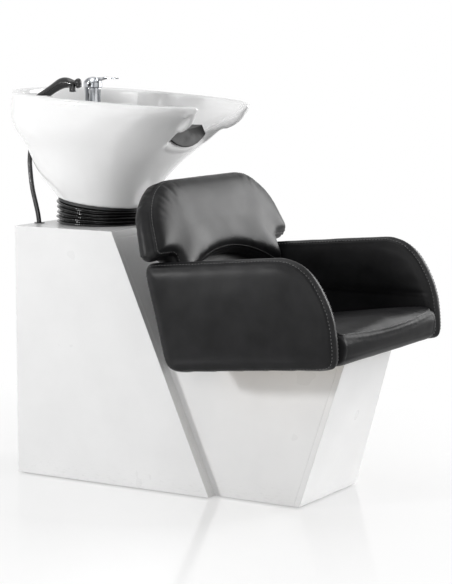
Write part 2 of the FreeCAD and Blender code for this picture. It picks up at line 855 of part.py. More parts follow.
def arms():
    """Two thick pads with a crowned band round the edge, each on a plywood board."""
    corners = [
        (-size.arm_rear_top_reach, size.arm_rear_top),
        (-size.arm_front_top_reach, size.arm_front_top),
        (-size.arm_front_mid_reach, size.arm_front_mid),
        (-size.arm_front_low_reach, size.arm_front_low),
        (-size.arm_rear_low_reach, size.arm_rear_low),
    ]
    radii = [
        size.arm_rear_top_radius,
        size.arm_front_top_radius,
        size.arm_front_mid_radius,
        size.arm_front_low_radius,
        size.arm_rear_low_radius,
    ]
    seam_in = size.arm_inner + size.arm_seam_inset
    seam_out = size.arm_outer - size.arm_seam_inset - size.arm_seam_inset / 2
    band = seam_out - seam_in
    levels = [
        (size.arm_inner, size.arm_face_step),
        (seam_in, 0),
        (seam_in + band / 4, -size.arm_crown),
        (seam_out - band / 4, -size.arm_crown),
        (seam_out, 0),
        (size.arm_outer - size.arm_seam_inset / 2, size.arm_face_step),
        (size.arm_outer, size.arm_face_inset),
    ]
    front, rear = -size.arm_board_front_reach, -size.arm_board_rear_reach
    inner = size.seat_board_half
    pads = []
    for side, sign in SIDES.items():
        form = pillow(corners, radii, levels, lambda a, b, depth, sign=sign: Vector(sign * depth, a, b))
        quad = [
            Vector(sign * inner, front, seat_line(front)),
            Vector(sign * inner, rear, seat_line(rear)),
            Vector(sign * inner, rear, seat_line(rear) + size.arm_board_height),
            Vector(sign * inner, front, seat_line(front) + size.arm_board_height),
        ]
        outer = [corner + Vector(sign * size.arm_board_thick, 0, 0) for corner in quad]
        board = slab(quad, outer)
        bolts = [arm_bolt(sign, y, size.bolt_gap) for y in arm_bolt_places()]
        feature(board.cut(bolts), f"arm_board_{side}")
        tongue_z = size.seat_board_thick
        tongue = [
            (-size.seat_board_front_reach, seat_line(-size.seat_board_front_reach)),
            (-size.seat_rear_reach, seat_line(-size.seat_rear_reach)),
        ]
        low = [Vector(sign * size.seat_half, y, z - size.arm_crown * 2) for y, z in tongue]
        low += [Vector(sign * size.seat_half, y, z + tongue_z) for y, z in reversed(tongue)]
        high = [Vector(sign * inner, point.y, point.z) for point in low]
        pocket_z = size.arm_crown * 2
        slot = [corner + Vector(0, 0, -pocket_z if corner.z < size.seat_top_rear else 0) for corner in quad]
        slot = slab(slot, [corner + Vector(sign * size.arm_board_thick, 0, 0) for corner in slot])
        pads.append(feature(form.cut([slot, slab(low, high)]), f"arm_pad_{side}").Shape)
    bolts = [arm_bolt(sign, y) for sign in SIDES.values() for y in arm_bolt_places()]
    feature(Part.makeCompound(bolts), "arm_bolts")
    bolts = [seat_bolt(sign * size.seat_bolt_x, y) for sign in SIDES.values() for y in seat_bolt_places()]
    feature(Part.makeCompound(bolts), "seat_bolts")
    return pads


def back_space(x, rise, depth):
    """A point of the backrest: across, up along the recline, and back from the front plane."""
    lean = math.radians(size.back_recline)
    y = -size.back_y_reach + rise * math.sin(lean) + depth * math.cos(lean)
    z = size.back_z + rise * math.cos(lean) - depth * math.sin(lean)
    return Vector(x, y, z)


def backrest(pads):
    """Reclined cushion with ears that rest on the arms and an arched lower edge, its board and brackets."""
    half_points = [
        (size.back_half, size.back_top),
        (-size.back_half, size.back_top),
        (-size.back_ear_half, -size.back_ear_drop),
        (-size.back_neck_half, -size.back_ear_drop),
        (-size.back_neck_half, -size.back_low_drop),
        (0, size.back_arch_top),
        (size.back_neck_half, -size.back_low_drop),
        (size.back_neck_half, -size.back_ear_drop),
        (size.back_ear_half, -size.back_ear_drop),
    ]
    radii = [
        size.back_corner_radius,
        size.back_corner_radius,
        size.back_ear_radius,
        size.back_neck_radius,
        size.back_low_radius,
        size.back_arch_radius,
        size.back_low_radius,
        size.back_neck_radius,
        size.back_ear_radius,
    ]
    thick = size.back_thick
    seam = size.back_seam_depth
    levels = [
        (thick, size.back_rear_inset),
        (thick - seam, 0),
        (thick * 2 / 3, -size.back_band_crown),
        (thick / 3, -size.back_band_crown),
        (seam, 0),
        (-size.back_crown / 2, size.back_crown_inset / 3),
        (-size.back_crown, size.back_crown_inset),
    ]
    form = pillow(half_points, radii, levels, back_space)
    lean = math.radians(size.back_recline)
    half = size.back_board_half
    front = thick - size.back_board_thick
    # The board's foot stands on the pedestal top, so its lower edge follows the seat line
    slope = math.cos(lean) + seat_slope * math.sin(lean)

    def foot(depth):
        start = back_space(0, 0, depth)
        return (seat_line(start.y) - start.z) / slope

    wires = []
    for depth in (front, thick):
        low = foot(depth)
        shape = [(half, size.back_board_top), (-half, size.back_board_top), (-half, low), (half, low)]
        corner_radii = [size.back_board_radius, size.back_board_radius, size.soft_edge, size.soft_edge]
        wires.append(rounded(shape, corner_radii, 0, lambda a, b, depth=depth: back_space(a, b, depth)))
    board = Part.makeLoft(wires, True, True)
    feature(form.cut([board] + pads), "backrest_cushion")
    width = size.back_bracket_width
    outer = thick + size.back_bracket_thick
    places = [sign * size.back_bracket_x for sign in SIDES.values()]
    bolts = []
    brackets = []
    for x in places:
        left = x - width / 2
        upright = [
            back_space(left, foot(thick), thick),
            back_space(left, foot(outer), outer),
            back_space(left, foot(outer) + size.back_bracket_height, outer),
            back_space(left, foot(thick) + size.back_bracket_height, thick),
        ]
        toe = upright[1]
        heel_y = toe.y + size.back_bracket_foot
        lift = size.back_bracket_thick
        plate = [
            Vector(left, toe.y - lift, seat_line(toe.y - lift)),
            Vector(left, heel_y, seat_line(heel_y)),
            Vector(left, heel_y, seat_line(heel_y) + lift),
            Vector(left, toe.y - lift, seat_line(toe.y - lift) + lift),
        ]
        step = Vector(width, 0, 0)
        flat = Part.Face(polygon(plate)).extrude(step)
        standing = Part.Face(polygon(upright)).extrude(step)
        brackets.append(standing.fuse(flat).cut(board))
        for share in (1, 2):
            rise = foot(outer) + size.back_bracket_height * share / 3 + lift
            head = back_space(x, rise, outer)
            inward = back_space(x, rise, front) - head
            length = size.back_board_thick + size.back_bracket_thick
            shank = Part.makeCylinder(size.bolt_radius, length, head, inward)
            cap = Part.makeCylinder(size.bolt_head_radius, size.bolt_head_height, head, inward * -1)
            bolts.append(shank.fuse(cap))
    feature(board.cut(bolts), "backrest_board")
    feature(Part.makeCompound([bracket.cut(bolts) for bracket in brackets]), "backrest_brackets")
    feature(Part.makeCompound(bolts), "backrest_bolts")


def basin_stand():
    """Two uprights and a top plate that carry the tilt hinge."""
    low = "floor_gap + rail_thick"
    tall = "stand_top - stand_plate_thick - floor_gap - rail_thick"
    side = "stand_post_side"
    inner = "stand_post_side - 2 * tube_wall"
    posts = []
    for sign in ("-", ""):
        x = f"{sign}stand_post_x - stand_post_side / 2"
        outside = box(x, "basin_y - stand_post_side / 2", low, side, side, tall)
        hollow = box(x + " + tube_wall", "basin_y - stand_post_side / 2 + tube_wall", low, inner, inner, tall)
        posts.append(cut(outside, hollow))
    plate = box(
        "-stand_plate_half_x",
        "basin_y - stand_plate_half_y",
        "stand_top - stand_plate_thick",
        "2 * stand_plate_half_x",
        "2 * stand_plate_half_y",
        "stand_plate_thick",
    )
    way = rod("pass_radius", "stand_plate_thick + 2 * overrun", 0, "basin_y", "stand_top - stand_plate_thick - overrun")
    node(fuse(cut(plate, way), *posts), "basin_stand")
    base = box("-cradle_half_x", "basin_y - cradle_half_y", "stand_top", "2 * cradle_half_x", "2 * cradle_half_y", "cradle_thick")
    way = rod("pass_radius", "cradle_thick + 2 * overrun", 0, "basin_y", "stand_top - overrun")
    ears = []
    for x in ("-ear_x", "ear_x - ear_thick"):
        tall = "pivot_z + cradle_ear_rise - stand_top"
        ear = box(x, "basin_y - ear_half_y", "stand_top", "ear_thick", "2 * ear_half_y", tall)
        hole = rod("pivot_radius", "ear_thick + 2 * overrun", x + " - overrun", "basin_y", "pivot_z", "x")
        ears.append(cut(ear, hole))
    node(fuse(cut(base, way), *ears), "tilt_cradle")
    pins = []
    bushes = []
    for sign in (-1, 1):
        ear_in = "ear_x - ear_thick"
        length = "ear_thick + bush_flange_thick + tilt_ear_thick"
        start = f"-ear_x" if sign < 0 else f"{ear_in} - bush_flange_thick - tilt_ear_thick"
        pin = rod("pivot_radius", length, start, "basin_y", "pivot_z", "x")
        head_x = "-ear_x - pivot_head_height" if sign < 0 else "ear_x"
        head = hexagon("pivot_head_radius", "pivot_head_height", head_x, "basin_y", "pivot_z", "x")
        pins.append(fuse(pin, head))
        flange_x = f"-({ear_in})" if sign < 0 else f"{ear_in} - bush_flange_thick"
        sleeve_x = f"-({ear_in}) + bush_flange_thick" if sign < 0 else f"{ear_in} - bush_flange_thick - tilt_ear_thick"
        flange = rod("bush_flange_radius", "bush_flange_thick", flange_x, "basin_y", "pivot_z", "x")
        sleeve = rod("bush_radius", "tilt_ear_thick", sleeve_x, "basin_y", "pivot_z", "x")
        bore = "tilt_ear_thick + bush_flange_thick + 2 * overrun"
        bore_x = (flange_x if sign < 0 else sleeve_x) + " - overrun"
        way = rod("pivot_radius + shaft_gap", bore, bore_x, "basin_y", "pivot_z", "x")
        bushes.append(cut(fuse(flange, sleeve), way))
    node(group(*pins), "tilt_pins")
    node(group(*bushes), "tilt_bushes")


def tilted(shape, slope, z):
    """Lay a flat shape on the sloping plane through the basin's axis."""
    shape = shape.copy()
    shape.rotate(Vector(), Vector(1, 0, 0), math.degrees(math.atan(slope)))
    shape.translate(Vector(0, size.basin_y, z))
    return shape


def tilt_plate():
    """Round plate bolted under the basin, with two ears down to the hinge."""
    slope = size.foot_slope_share
    thick = size.tilt_plate_thick
    disc = Part.makeCylinder(size.tilt_plate_radius, thick, Vector(0, 0, -thick))
    way = Part.makeCylinder(size.pass_radius, thick + 2 * size.overrun, Vector(0, 0, -thick - size.overrun))
    disc = tilted(disc.cut(way), slope, size.foot_z)
    outer = size.ear_x - size.ear_thick - size.bush_flange_thick
    low = size.pivot_z - size.ear_margin
    ears = []
    for sign in SIDES.values():
        x = outer - size.tilt_ear_thick if sign > 0 else -outer
        corner = Vector(x, size.basin_y - size.ear_half_y, low)
        ear = Part.makeBox(size.tilt_ear_thick, 2 * size.ear_half_y, size.foot_z + thick - low, corner)
        hole_start = Vector(x - size.overrun, size.basin_y, size.pivot_z)
        length = size.tilt_ear_thick + 2 * size.overrun
        ears.append(ear.cut(Part.makeCylinder(size.bush_radius, length, hole_start, Vector(1, 0, 0))))
    above = Part.makeCylinder(size.foot_radius * 2, size.foot_radius, Vector(0, 0, -thick / 2))
    ears = [ear.cut(tilted(above, slope, size.foot_z)) for ear in ears]
    bolts = []
    for i in range(PLATE_BOLTS):
        angle = 2 * math.pi * (i + NOTCH_HALF_SHARE) / PLATE_BOLTS
        x, y = size.tilt_bolt_ring * math.cos(angle), size.tilt_bolt_ring * math.sin(angle)
        head_z = -thick - size.bolt_head_height
        head = Part.makeCylinder(size.bolt_head_radius, size.bolt_head_height, Vector(x, y, head_z))
        shank = Part.makeCylinder(size.bolt_radius, thick + size.recess_top_z - size.foot_z, Vector(x, y, -thick))
        bolts.append(tilted(head.fuse(shank), slope, size.foot_z))
    feature(disc.fuse(ears).cut(bolts), "tilt_plate")
    feature(Part.makeCompound(bolts), "tilt_plate_bolts")
    return bolts


def oval(half, centre, rear, front, rear_round, front_round, z, slope):
    """A level outline of the basin: two half superellipses that meet at the widest point."""
    points = []
    for i in range(OUTLINE_POINTS):
        angle = 2 * math.pi * i / OUTLINE_POINTS
        across, along = math.sin(angle), math.cos(angle)
        power = 2 / (rear_round if along >= 0 else front_round)
        reach = rear - centre if along >= 0 else centre - front
        x = half * math.copysign(abs(across) ** power, across)
        y = centre + reach * math.copysign(abs(along) ** power, along)
        points.append(Vector(x, y, z + slope * (y - size.basin_y)))
    curve = Part.BSplineCurve()
    curve.interpolate(Points=points, PeriodicFlag=True)
    return Part.Wire([curve.toShape()])


def blend(low, high, share):
    """A value between two."""
    return low + (high - low) * share


def basin_shell(inset):
    """The basin's outer form, moved in by an inset."""
    wires = []
    foot_half = size.foot_radius
    foot_rear = size.basin_y + size.foot_radius
    foot_front = size.basin_y - size.foot_radius
    for height, width, rear, front, centre, rear_round, front_round in BASIN_LEVEL_SHARES:
        wires.append(oval(
            blend(foot_half, size.rim_half, width) - inset,
            blend(size.basin_y, size.rim_centre_y, centre),
            blend(foot_rear, size.rim_rear, rear) - inset,
            blend(foot_front, -size.rim_front_reach, front) + inset,
            rear_round,
            front_round,
            blend(size.foot_z, size.rim_z, height),
            blend(size.foot_slope_share, size.rim_slope_share, height),
        ))
    return Part.makeLoft(wires, True, False)


def bowl_form():
    """The hollow that holds the water, from its flat floor to above the rim."""
    wires = []
    for height, width, rear, front, slope, rear_round, front_round in BOWL_LEVEL_SHARES:
        wires.append(oval(
            size.bowl_half * width,
            size.bowl_centre_y,
            size.bowl_centre_y + (size.bowl_rear - size.bowl_centre_y) * rear,
            size.bowl_centre_y - (size.bowl_centre_y + size.bowl_front_reach) * front,
            rear_round,
            front_round,
            blend(size.bowl_floor_z, size.rim_z, height),
            size.rim_slope_share * slope,
        ))
    return Part.makeLoft(wires, True, False)


def trough(lift, half, front, rear):
    """The neck notch's rounded trough, lifted by a thickness, between two places along Y."""
    z0 = size.notch_ridge_z + lift
    z1 = size.notch_side_z + lift
    mouth = size.notch_mouth_z + lift
    side = size.notch_floor_half
    outer = size.notch_mouth_half
    high = mouth + (size.rim_z - size.notch_ridge_z)
    floor = Part.Arc(Vector(-side, front, z1), Vector(0, front, z0), Vector(side, front, z1)).toShape()
    points = [
        Vector(side, front, z1),
        Vector(outer, front, mouth),
        Vector(outer, front, high),
        Vector(-outer, front, high),
        Vector(-outer, front, mouth),
        Vector(-side, front, z1),
    ]
    wire = Part.Wire([floor] + Part.makePolygon(points).Edges)
    form = Part.Face(wire).extrude(Vector(0, rear - front, 0))
    slice_box = Part.makeBox(2 * half, rear - front, high, Vector(-half, front, 0))
    return form.common(slice_box) if half < outer else form


def basin(bolts):
    """Glazed ceramic basin: hollow rear, water bowl, tap deck and neck notch; and the rubber neck rest."""
    form = basin_shell(0)
    deck_low = size.deck_z - size.deck_thick
    span = size.rim_half * 2
    # Hollow behind the bowl, open to the round recess in the foot
    inner = basin_shell(size.deck_wall)
    behind = Part.makeBox(span, span, deck_low - size.foot_z + size.overrun, Vector(
        -span / 2, size.bowl_rear + size.chamber_wall, size.foot_z - size.overrun))
    chamber = inner.common(behind)
    recess = Part.makeCylinder(size.recess_radius, size.recess_top_z - size.foot_z + size.overrun * 3, Vector(
        0, size.basin_y, size.foot_z - size.overrun * 3))
    # Rim-wide recess over the tap deck
    rim = oval(
        size.rim_half - size.rim_width,
        size.rim_centre_y,
        size.rim_rear - size.rim_width,
        -size.rim_front_reach + size.rim_width,
        BASIN_LEVEL_SHARES[-1][5],
        BASIN_LEVEL_SHARES[-1][6],
        size.deck_z,
        0,
    )
    lift = size.rim_z - size.deck_z + size.rim_slope_share * span
    well = Part.Face(rim).extrude(Vector(0, 0, lift))
    rear_half = Part.makeBox(span, span, lift, Vector(-span / 2, size.bowl_rear - size.rim_width, size.deck_z))
    well = well.common(rear_half)
    # Notch between the horns
    far = size.rim_front_reach + size.rim_width
    plan = [
        Vector(-size.notch_floor_half, -size.notch_reach, 0),
        Vector(size.notch_floor_half, -size.notch_reach, 0),
        Vector(size.notch_mouth_half, -size.notch_mouth_reach, 0),
        Vector(size.notch_mouth_half, -far, 0),
        Vector(-size.notch_mouth_half, -far, 0),
        Vector(-size.notch_mouth_half, -size.notch_mouth_reach, 0),
    ]
    mouth = Part.Face(polygon(plan)).extrude(Vector(0, 0, size.rim_z * 2))
    saddle = trough(0, size.notch_mouth_half, -far, -size.notch_inner_reach)
    top = Vector(-size.handset_x, size.handset_y, size.deck_z - size.handset_tail_depth)
    exit_way = Vector(-size.hose_exit_x, size.hose_exit_y, size.hose_exit_z) - top
    holes = [
        Part.makeCylinder(size.drain_radius, size.rim_z, Vector(0, size.drain_y, 0)),
        Part.makeCylinder(size.mixer_hole_radius, size.rim_z, Vector(size.mixer_x, size.mixer_y, deck_low - size.overrun)),
        Part.makeCylinder(size.socket_sleeve_radius, size.rim_z, Vector(
            -size.handset_x, size.handset_y, deck_low - size.overrun)),
        Part.makeCylinder(size.hose_way_radius, size.deck_z - size.recess_top_z, top, exit_way),
    ]
    ceramic = form.cut(bowl_form()).cut([chamber, recess, well, mouth, saddle] + holes).cut(bolts)
    feature(ceramic, "basin")
    # Rubber over the lowest part of the notch, with an apron down its front
    thick = size.neck_rest_thick
    ridge_rear = size.neck_rest_depth - size.notch_reach
    front = -size.notch_reach - thick
    over = trough(0, size.neck_rest_half, front, ridge_rear)
    over = over.cut(trough(thick, size.notch_mouth_half, front - thick, ridge_rear + thick))
    half = size.neck_rest_half
    side = size.neck_rest_low_side
    high = size.notch_side_z + thick
    curve = Part.Arc(Vector(-half, front, side), Vector(0, front, size.neck_rest_low), Vector(half, front, side))
    sides = [Vector(half, front, side), Vector(half, front, high), Vector(-half, front, high)]
    wire = Part.Wire([curve.toShape()] + Part.makePolygon(sides + [Vector(-half, front, side)]).Edges)
    apron = Part.Face(wire).extrude(Vector(0, thick, 0))
    apron = apron.cut(trough(0, size.notch_mouth_half, front - thick, ridge_rear))
    top_half = size.neck_rest_top_half
    low = size.neck_rest_low - thick
    lid = size.rim_z
    sides = [(half, low), (half, side), (top_half, high), (top_half, lid)]
    sides += [(-x, z) for x, z in reversed(sides)]
    waist = Part.Face(polygon([Vector(x, front - thick, z) for x, z in sides]))
    waist = waist.extrude(Vector(0, ridge_rear - front + 2 * thick, 0))
    feature(over.fuse(apron).common(waist).cut(ceramic).removeSplitter(), "neck_rest")


def rings_on_axis(places):
    """Circles with one start direction, each with its height, slope and radius."""
    wires = []
    for z, slope, radius in places:
        ring = Part.Wire([Part.makeCircle(radius)])
        wires.append(tilted(ring, slope, z))
    return wires


def bellows():
    """Ribbed rubber boot between the cabinet top and the tilt plate, and its two clamp rings."""
    top = size.foot_z - size.tilt_plate_thick * math.sqrt(1 + size.foot_slope_share ** 2)
    base = size.cabinet_height
    span = size.bellows_peak_radius - size.bellows_valley_radius
    places = []
    for rib in range(RIB_COUNT):
        for along, out in RIB_SHARES:
            share = (rib + along) / RIB_COUNT
            radius = size.bellows_valley_radius + span * out
            places.append((blend(base, top, share), size.foot_slope_share * share, radius))
    places.append((top, size.foot_slope_share, size.bellows_valley_radius))
    outside = Part.makeLoft(rings_on_axis(places), True, True)
    thinner = [(z, slope, radius - size.bellows_wall) for z, slope, radius in places]
    inside = Part.makeLoft(rings_on_axis(thinner), True, True)
    feature(outside.cut(inside), "bellows")
    print("bellows volume", outside.cut(inside).Volume)
    gap = size.bellows_valley_radius - size.bellows_wall
    ring = Part.makeCylinder(gap, size.clamp_ring_height)
    ring = ring.cut(Part.makeCylinder(size.clamp_ring_inner, size.clamp_ring_height))
    lower = ring.copy()
    lower.translate(Vector(0, size.basin_y, base))
    feature(lower, "bellows_lower_ring")
    low = Vector(0, 0, -size.clamp_ring_height)
    upper = Part.makeCylinder(gap, size.clamp_ring_height, low)
    upper = upper.cut(Part.makeCylinder(size.clamp_ring_upper_inner, size.clamp_ring_height, low))
    upper = tilted(upper, size.foot_slope_share, top)
    return upper


def turned_part(label, loop, x, y, z):
    """A piece turned about an upright axis."""
    body = new_body(label)
    revolve(body, loop)
    place(body, x, y, z)
    return body


def waste():
    """Flange and tail in the basin's drain, its nut, a lift-out strainer, the hose and the trap."""
    turned_part("waste_flange", [
        ("tail_bore", "tail_low_z"),
        ("tail_radius", "tail_low_z"),
        ("tail_radius", "cup_low_z"),
        ("cup_radius", "cup_low_z"),
        ("cup_radius", "bowl_floor_z"),
        ("flange_radius", "bowl_floor_z"),
        ("flange_radius", "bowl_floor_z + flange_thick"),
        ("cup_bore", "bowl_floor_z + flange_thick"),
        ("cup_bore", "cup_low_z + cup_floor"),
        ("tail_bore", "cup_low_z + cup_floor"),
    ], 0, "drain_y", 0)
    turned_part("waste_nut", [
        ("tail_radius", 0),
        ("waste_nut_radius", 0),
        ("waste_nut_radius", "waste_nut_height"),
        ("tail_radius", "waste_nut_height"),
    ], 0, "drain_y", "recess_top_z - waste_nut_height")
    disc_z = "cup_low_z + cup_floor"
    disc = rod("strainer_radius", "strainer_thick", 0, "drain_y", disc_z)
    knob = rod("strainer_knob_radius", "strainer_knob_height", 0, "drain_y", disc_z + " + strainer_thick")
    ways = []
    for i in range(STRAINER_HOLES):
        angle = 360 * i / STRAINER_HOLES
        x = f"strainer_hole_ring * cos({angle})"
        y = f"drain_y + strainer_hole_ring * sin({angle})"
        ways.append(rod("strainer_hole_radius", "strainer_thick + 2 * overrun", x, y, disc_z + " - overrun"))
    node(fuse(cut(disc, *ways), knob), "strainer")
    neck = rod("tail_radius", "trap_neck_height", 0, "drain_y", "trap_top_z")
    bottle = rod("trap_radius", "trap_top_z - trap_low_z", 0, "drain_y", "trap_low_z")
    across = rod("tail_radius", "trap_outlet_y - drain_y", 0, "drain_y", "trap_outlet_z", "y")
    knee = doc.addObject("Part::Sphere", "knee")
    place(bind(knee, Radius="tail_radius"), 0, "trap_outlet_y", "trap_outlet_z")
    down = rod("tail_radius", "trap_outlet_z - trap_outlet_low_z", 0, "trap_outlet_y", "trap_outlet_low_z")
    bead = rod("outlet_bead_radius", "outlet_bead_height", 0, "trap_outlet_y", "trap_outlet_low_z + outlet_length")
    node(fuse(neck, bottle, across, knee, down, bead), "waste_trap")
    plate = box(
        "stand_post_side / 2 - stand_post_x",
        "drain_y - trap_bracket_half_y",
        "trap_bracket_z",
        "2 * stand_post_x - stand_post_side",
        "2 * trap_bracket_half_y",
        "trap_bracket_thick",
    )
    hole = rod("trap_radius", "trap_bracket_thick + 2 * overrun", 0, "drain_y", "trap_bracket_z - overrun")
    notch = box(
        "-tail_radius - bolt_gap",
        "drain_y",
        "trap_bracket_z - overrun",
        "2 * (tail_radius + bolt_gap)",
        "2 * trap_bracket_half_y",
        "trap_bracket_thick + 2 * overrun",
    )
    node(cut(plate, hole, notch), "trap_bracket")


def inlets():
    """Plate on the floor frame with the hot and cold inlet couplings."""
    low = "floor_gap + rail_thick"
    plate = box("-pipe_plate_half", "pipe_plate_y", low, "2 * pipe_plate_half", "pipe_plate_thick", "pipe_plate_top - " + low.replace(" + ", " - "))
    node(plate, "pipe_plate")
    parts = []
    for x in ("-inlet_x", "inlet_x"):
        barrel = rod("inlet_radius", "inlet_height", x, "inlet_y", "inlet_low_z")
        thread = rod("inlet_thread_radius", "inlet_thread_length", x, "inlet_y", "inlet_low_z - inlet_thread_length")
        tail = rod("inlet_tail_radius", "inlet_tail_length", x, "inlet_y", "inlet_low_z + inlet_height")
        boss_z = "inlet_low_z + inlet_height / 2"
        boss = rod("inlet_boss_radius", "pipe_plate_y - inlet_y", x, "inlet_y", boss_z, "y")
        parts.append(fuse(barrel, thread, tail, boss))
    node(group(*parts), "inlet_couplings")


# Hoses: straight runs joined by arcs that touch them
ARC_SHARE = 0.45


def hose_path(points):
    """A wire of straight runs and tangent arcs, and its tightest arc."""
    points = [Vector(*point) for point in points]
    edges = []
    radii = []
    last = points[0]
    for before, corner, after in zip(points, points[1:], points[2:]):
        back = before - corner
        ahead = after - corner
        turn = math.pi - back.getAngle(ahead)
        reach = ARC_SHARE * min(back.Length, ahead.Length)
        radius = reach / math.tan(turn / 2)
        radii.append(radius)
        back.normalize()
        ahead.normalize()
        start = corner + back * reach
        end = corner + ahead * reach
        inward = (back + ahead).normalize()
        middle = corner + inward * (radius * (1 / math.cos(turn / 2) - 1))
        edges.append(Part.LineSegment(last, start).toShape())
        edges.append(Part.Arc(start, middle, end).toShape())
        last = end
    edges.append(Part.LineSegment(last, points[-1]).toShape())
    return Part.Wire(edges), min(radii)


def hose(label, points, radius, bore=0):
    """A hose along its route, with its length and tightest arc printed."""
    path, tightest = hose_path(points)
    start = path.Vertexes[0].Point
    ahead = Vector(*points[1]) - Vector(*points[0])
    shapes = []
    for each in (radius, bore):
        if each:
            ring = Part.Wire([Part.makeCircle(each, start, ahead)])
            shapes.append(path.makePipeShell([ring], True, False))
    solid = shapes[0].cut(shapes[1]) if bore else shapes[0]
    area = math.pi * (radius ** 2 - bore ** 2)
    print(label, "length", round(path.Length, 1), "tightest arc", round(tightest, 1),
          "volume share", round(solid.Volume / (area * path.Length), 5))
    return solid


def hoses():
    """Hot and cold supply hoses, the shower hose outside and inside the cabinet, and the waste hose."""
    top = size.deck_z - size.mixer_shank_length
    hot_x, cold_x = size.mixer_x - size.shank_port_x, size.mixer_x + size.shank_port_x
    ports_y = size.mixer_y + size.shank_port_y
    outlet_y = size.mixer_y - size.shank_outlet_reach
    start_z = size.inlet_low_z + size.inlet_height + size.inlet_tail_length
    hot = [
        (-size.inlet_x, size.inlet_y, start_z), (-size.inlet_x, size.inlet_y, 215), (-48, 238, 285), (-44, 229, 350),
        (-34, 208, 420), (-26, 194, 492), (-22, 186, 560), (-22, 184, 620), (-18, 188, 675), (-4, 195, 722),
        (16, 203, 765), (36, 208, 806), (hot_x, ports_y, 850), (hot_x, ports_y, top),
    ]
    cold = [
        (size.inlet_x, size.inlet_y, start_z), (size.inlet_x, size.inlet_y, 215), (43, 231, 285), (37, 218, 355),
        (30, 204, 425), (25, 193, 495), (22, 186, 560), (22, 183, 620), (22, 185, 675), (30, 193, 722),
        (46, 202, 765), (60, 209, 808), (cold_x, ports_y, 852), (cold_x, ports_y, top),
    ]
    feature(Part.makeCompound([
        hose("hot supply hose", hot, size.supply_radius),
        hose("cold supply hose", cold, size.supply_radius),
    ]), "supply_hoses")
    socket = Vector(-size.handset_x, size.handset_y, size.deck_z - size.handset_tail_depth)
    way_out = Vector(-size.hose_exit_x, size.hose_exit_y, size.hose_exit_z)
    upper = Part.makeCylinder(size.shower_hose_radius, (way_out - socket).Length, socket, way_out - socket)
    upper = upper.cut(Part.makeCylinder(2 * size.shower_hose_radius, size.shower_hose_radius, socket))
    feature(upper, "shower_hose_upper")
    run = (way_out - socket).normalize() * size.hose_exit_run
    port_x, port_y = -size.hose_port_x, size.hose_port_y
    shower = [
        tuple(way_out), tuple(way_out + run), (-84, 307, 765), (-88, 299, 727), (-90, 287, 690),
        (port_x, 276.5, 652), (port_x, port_y, 605), (port_x, 273.5, 575), (port_x, 273.5, 545),
    ]
    feature(hose("shower hose", shower, size.shower_hose_radius), "shower_hose")
    loop = [
        (port_x, 273.5, 545), (port_x, 273.5, 510), (-99, 271, 455), (-122, 266, 405), (-140, 262, 350),
        (-99, 242, 304.5), (-41, 215, 304.5), (0, 195, 350), (5, 191, 415), (4, 189, 485), (1, 188, 550),
        (0, 187, 610), (2, 188, 660), (13, 193, 705), (24, 196, 750), (40, 198, 795), (55, outlet_y, 843),
        (55, outlet_y, top),
    ]
    feature(hose("shower hose inside", loop, size.shower_hose_radius), "shower_hose_loop")
    drain = size.drain_y
    waste_route = [
        (0, drain, size.tail_low_z), (0, drain, 588), (5, 119, 528), (5, 119, 448), (0, drain, 388),
        (0, drain, size.trap_top_z + size.trap_neck_height),
    ]
    feature(hose("waste hose", waste_route, size.waste_hose_radius, size.tail_bore), "waste_hose")


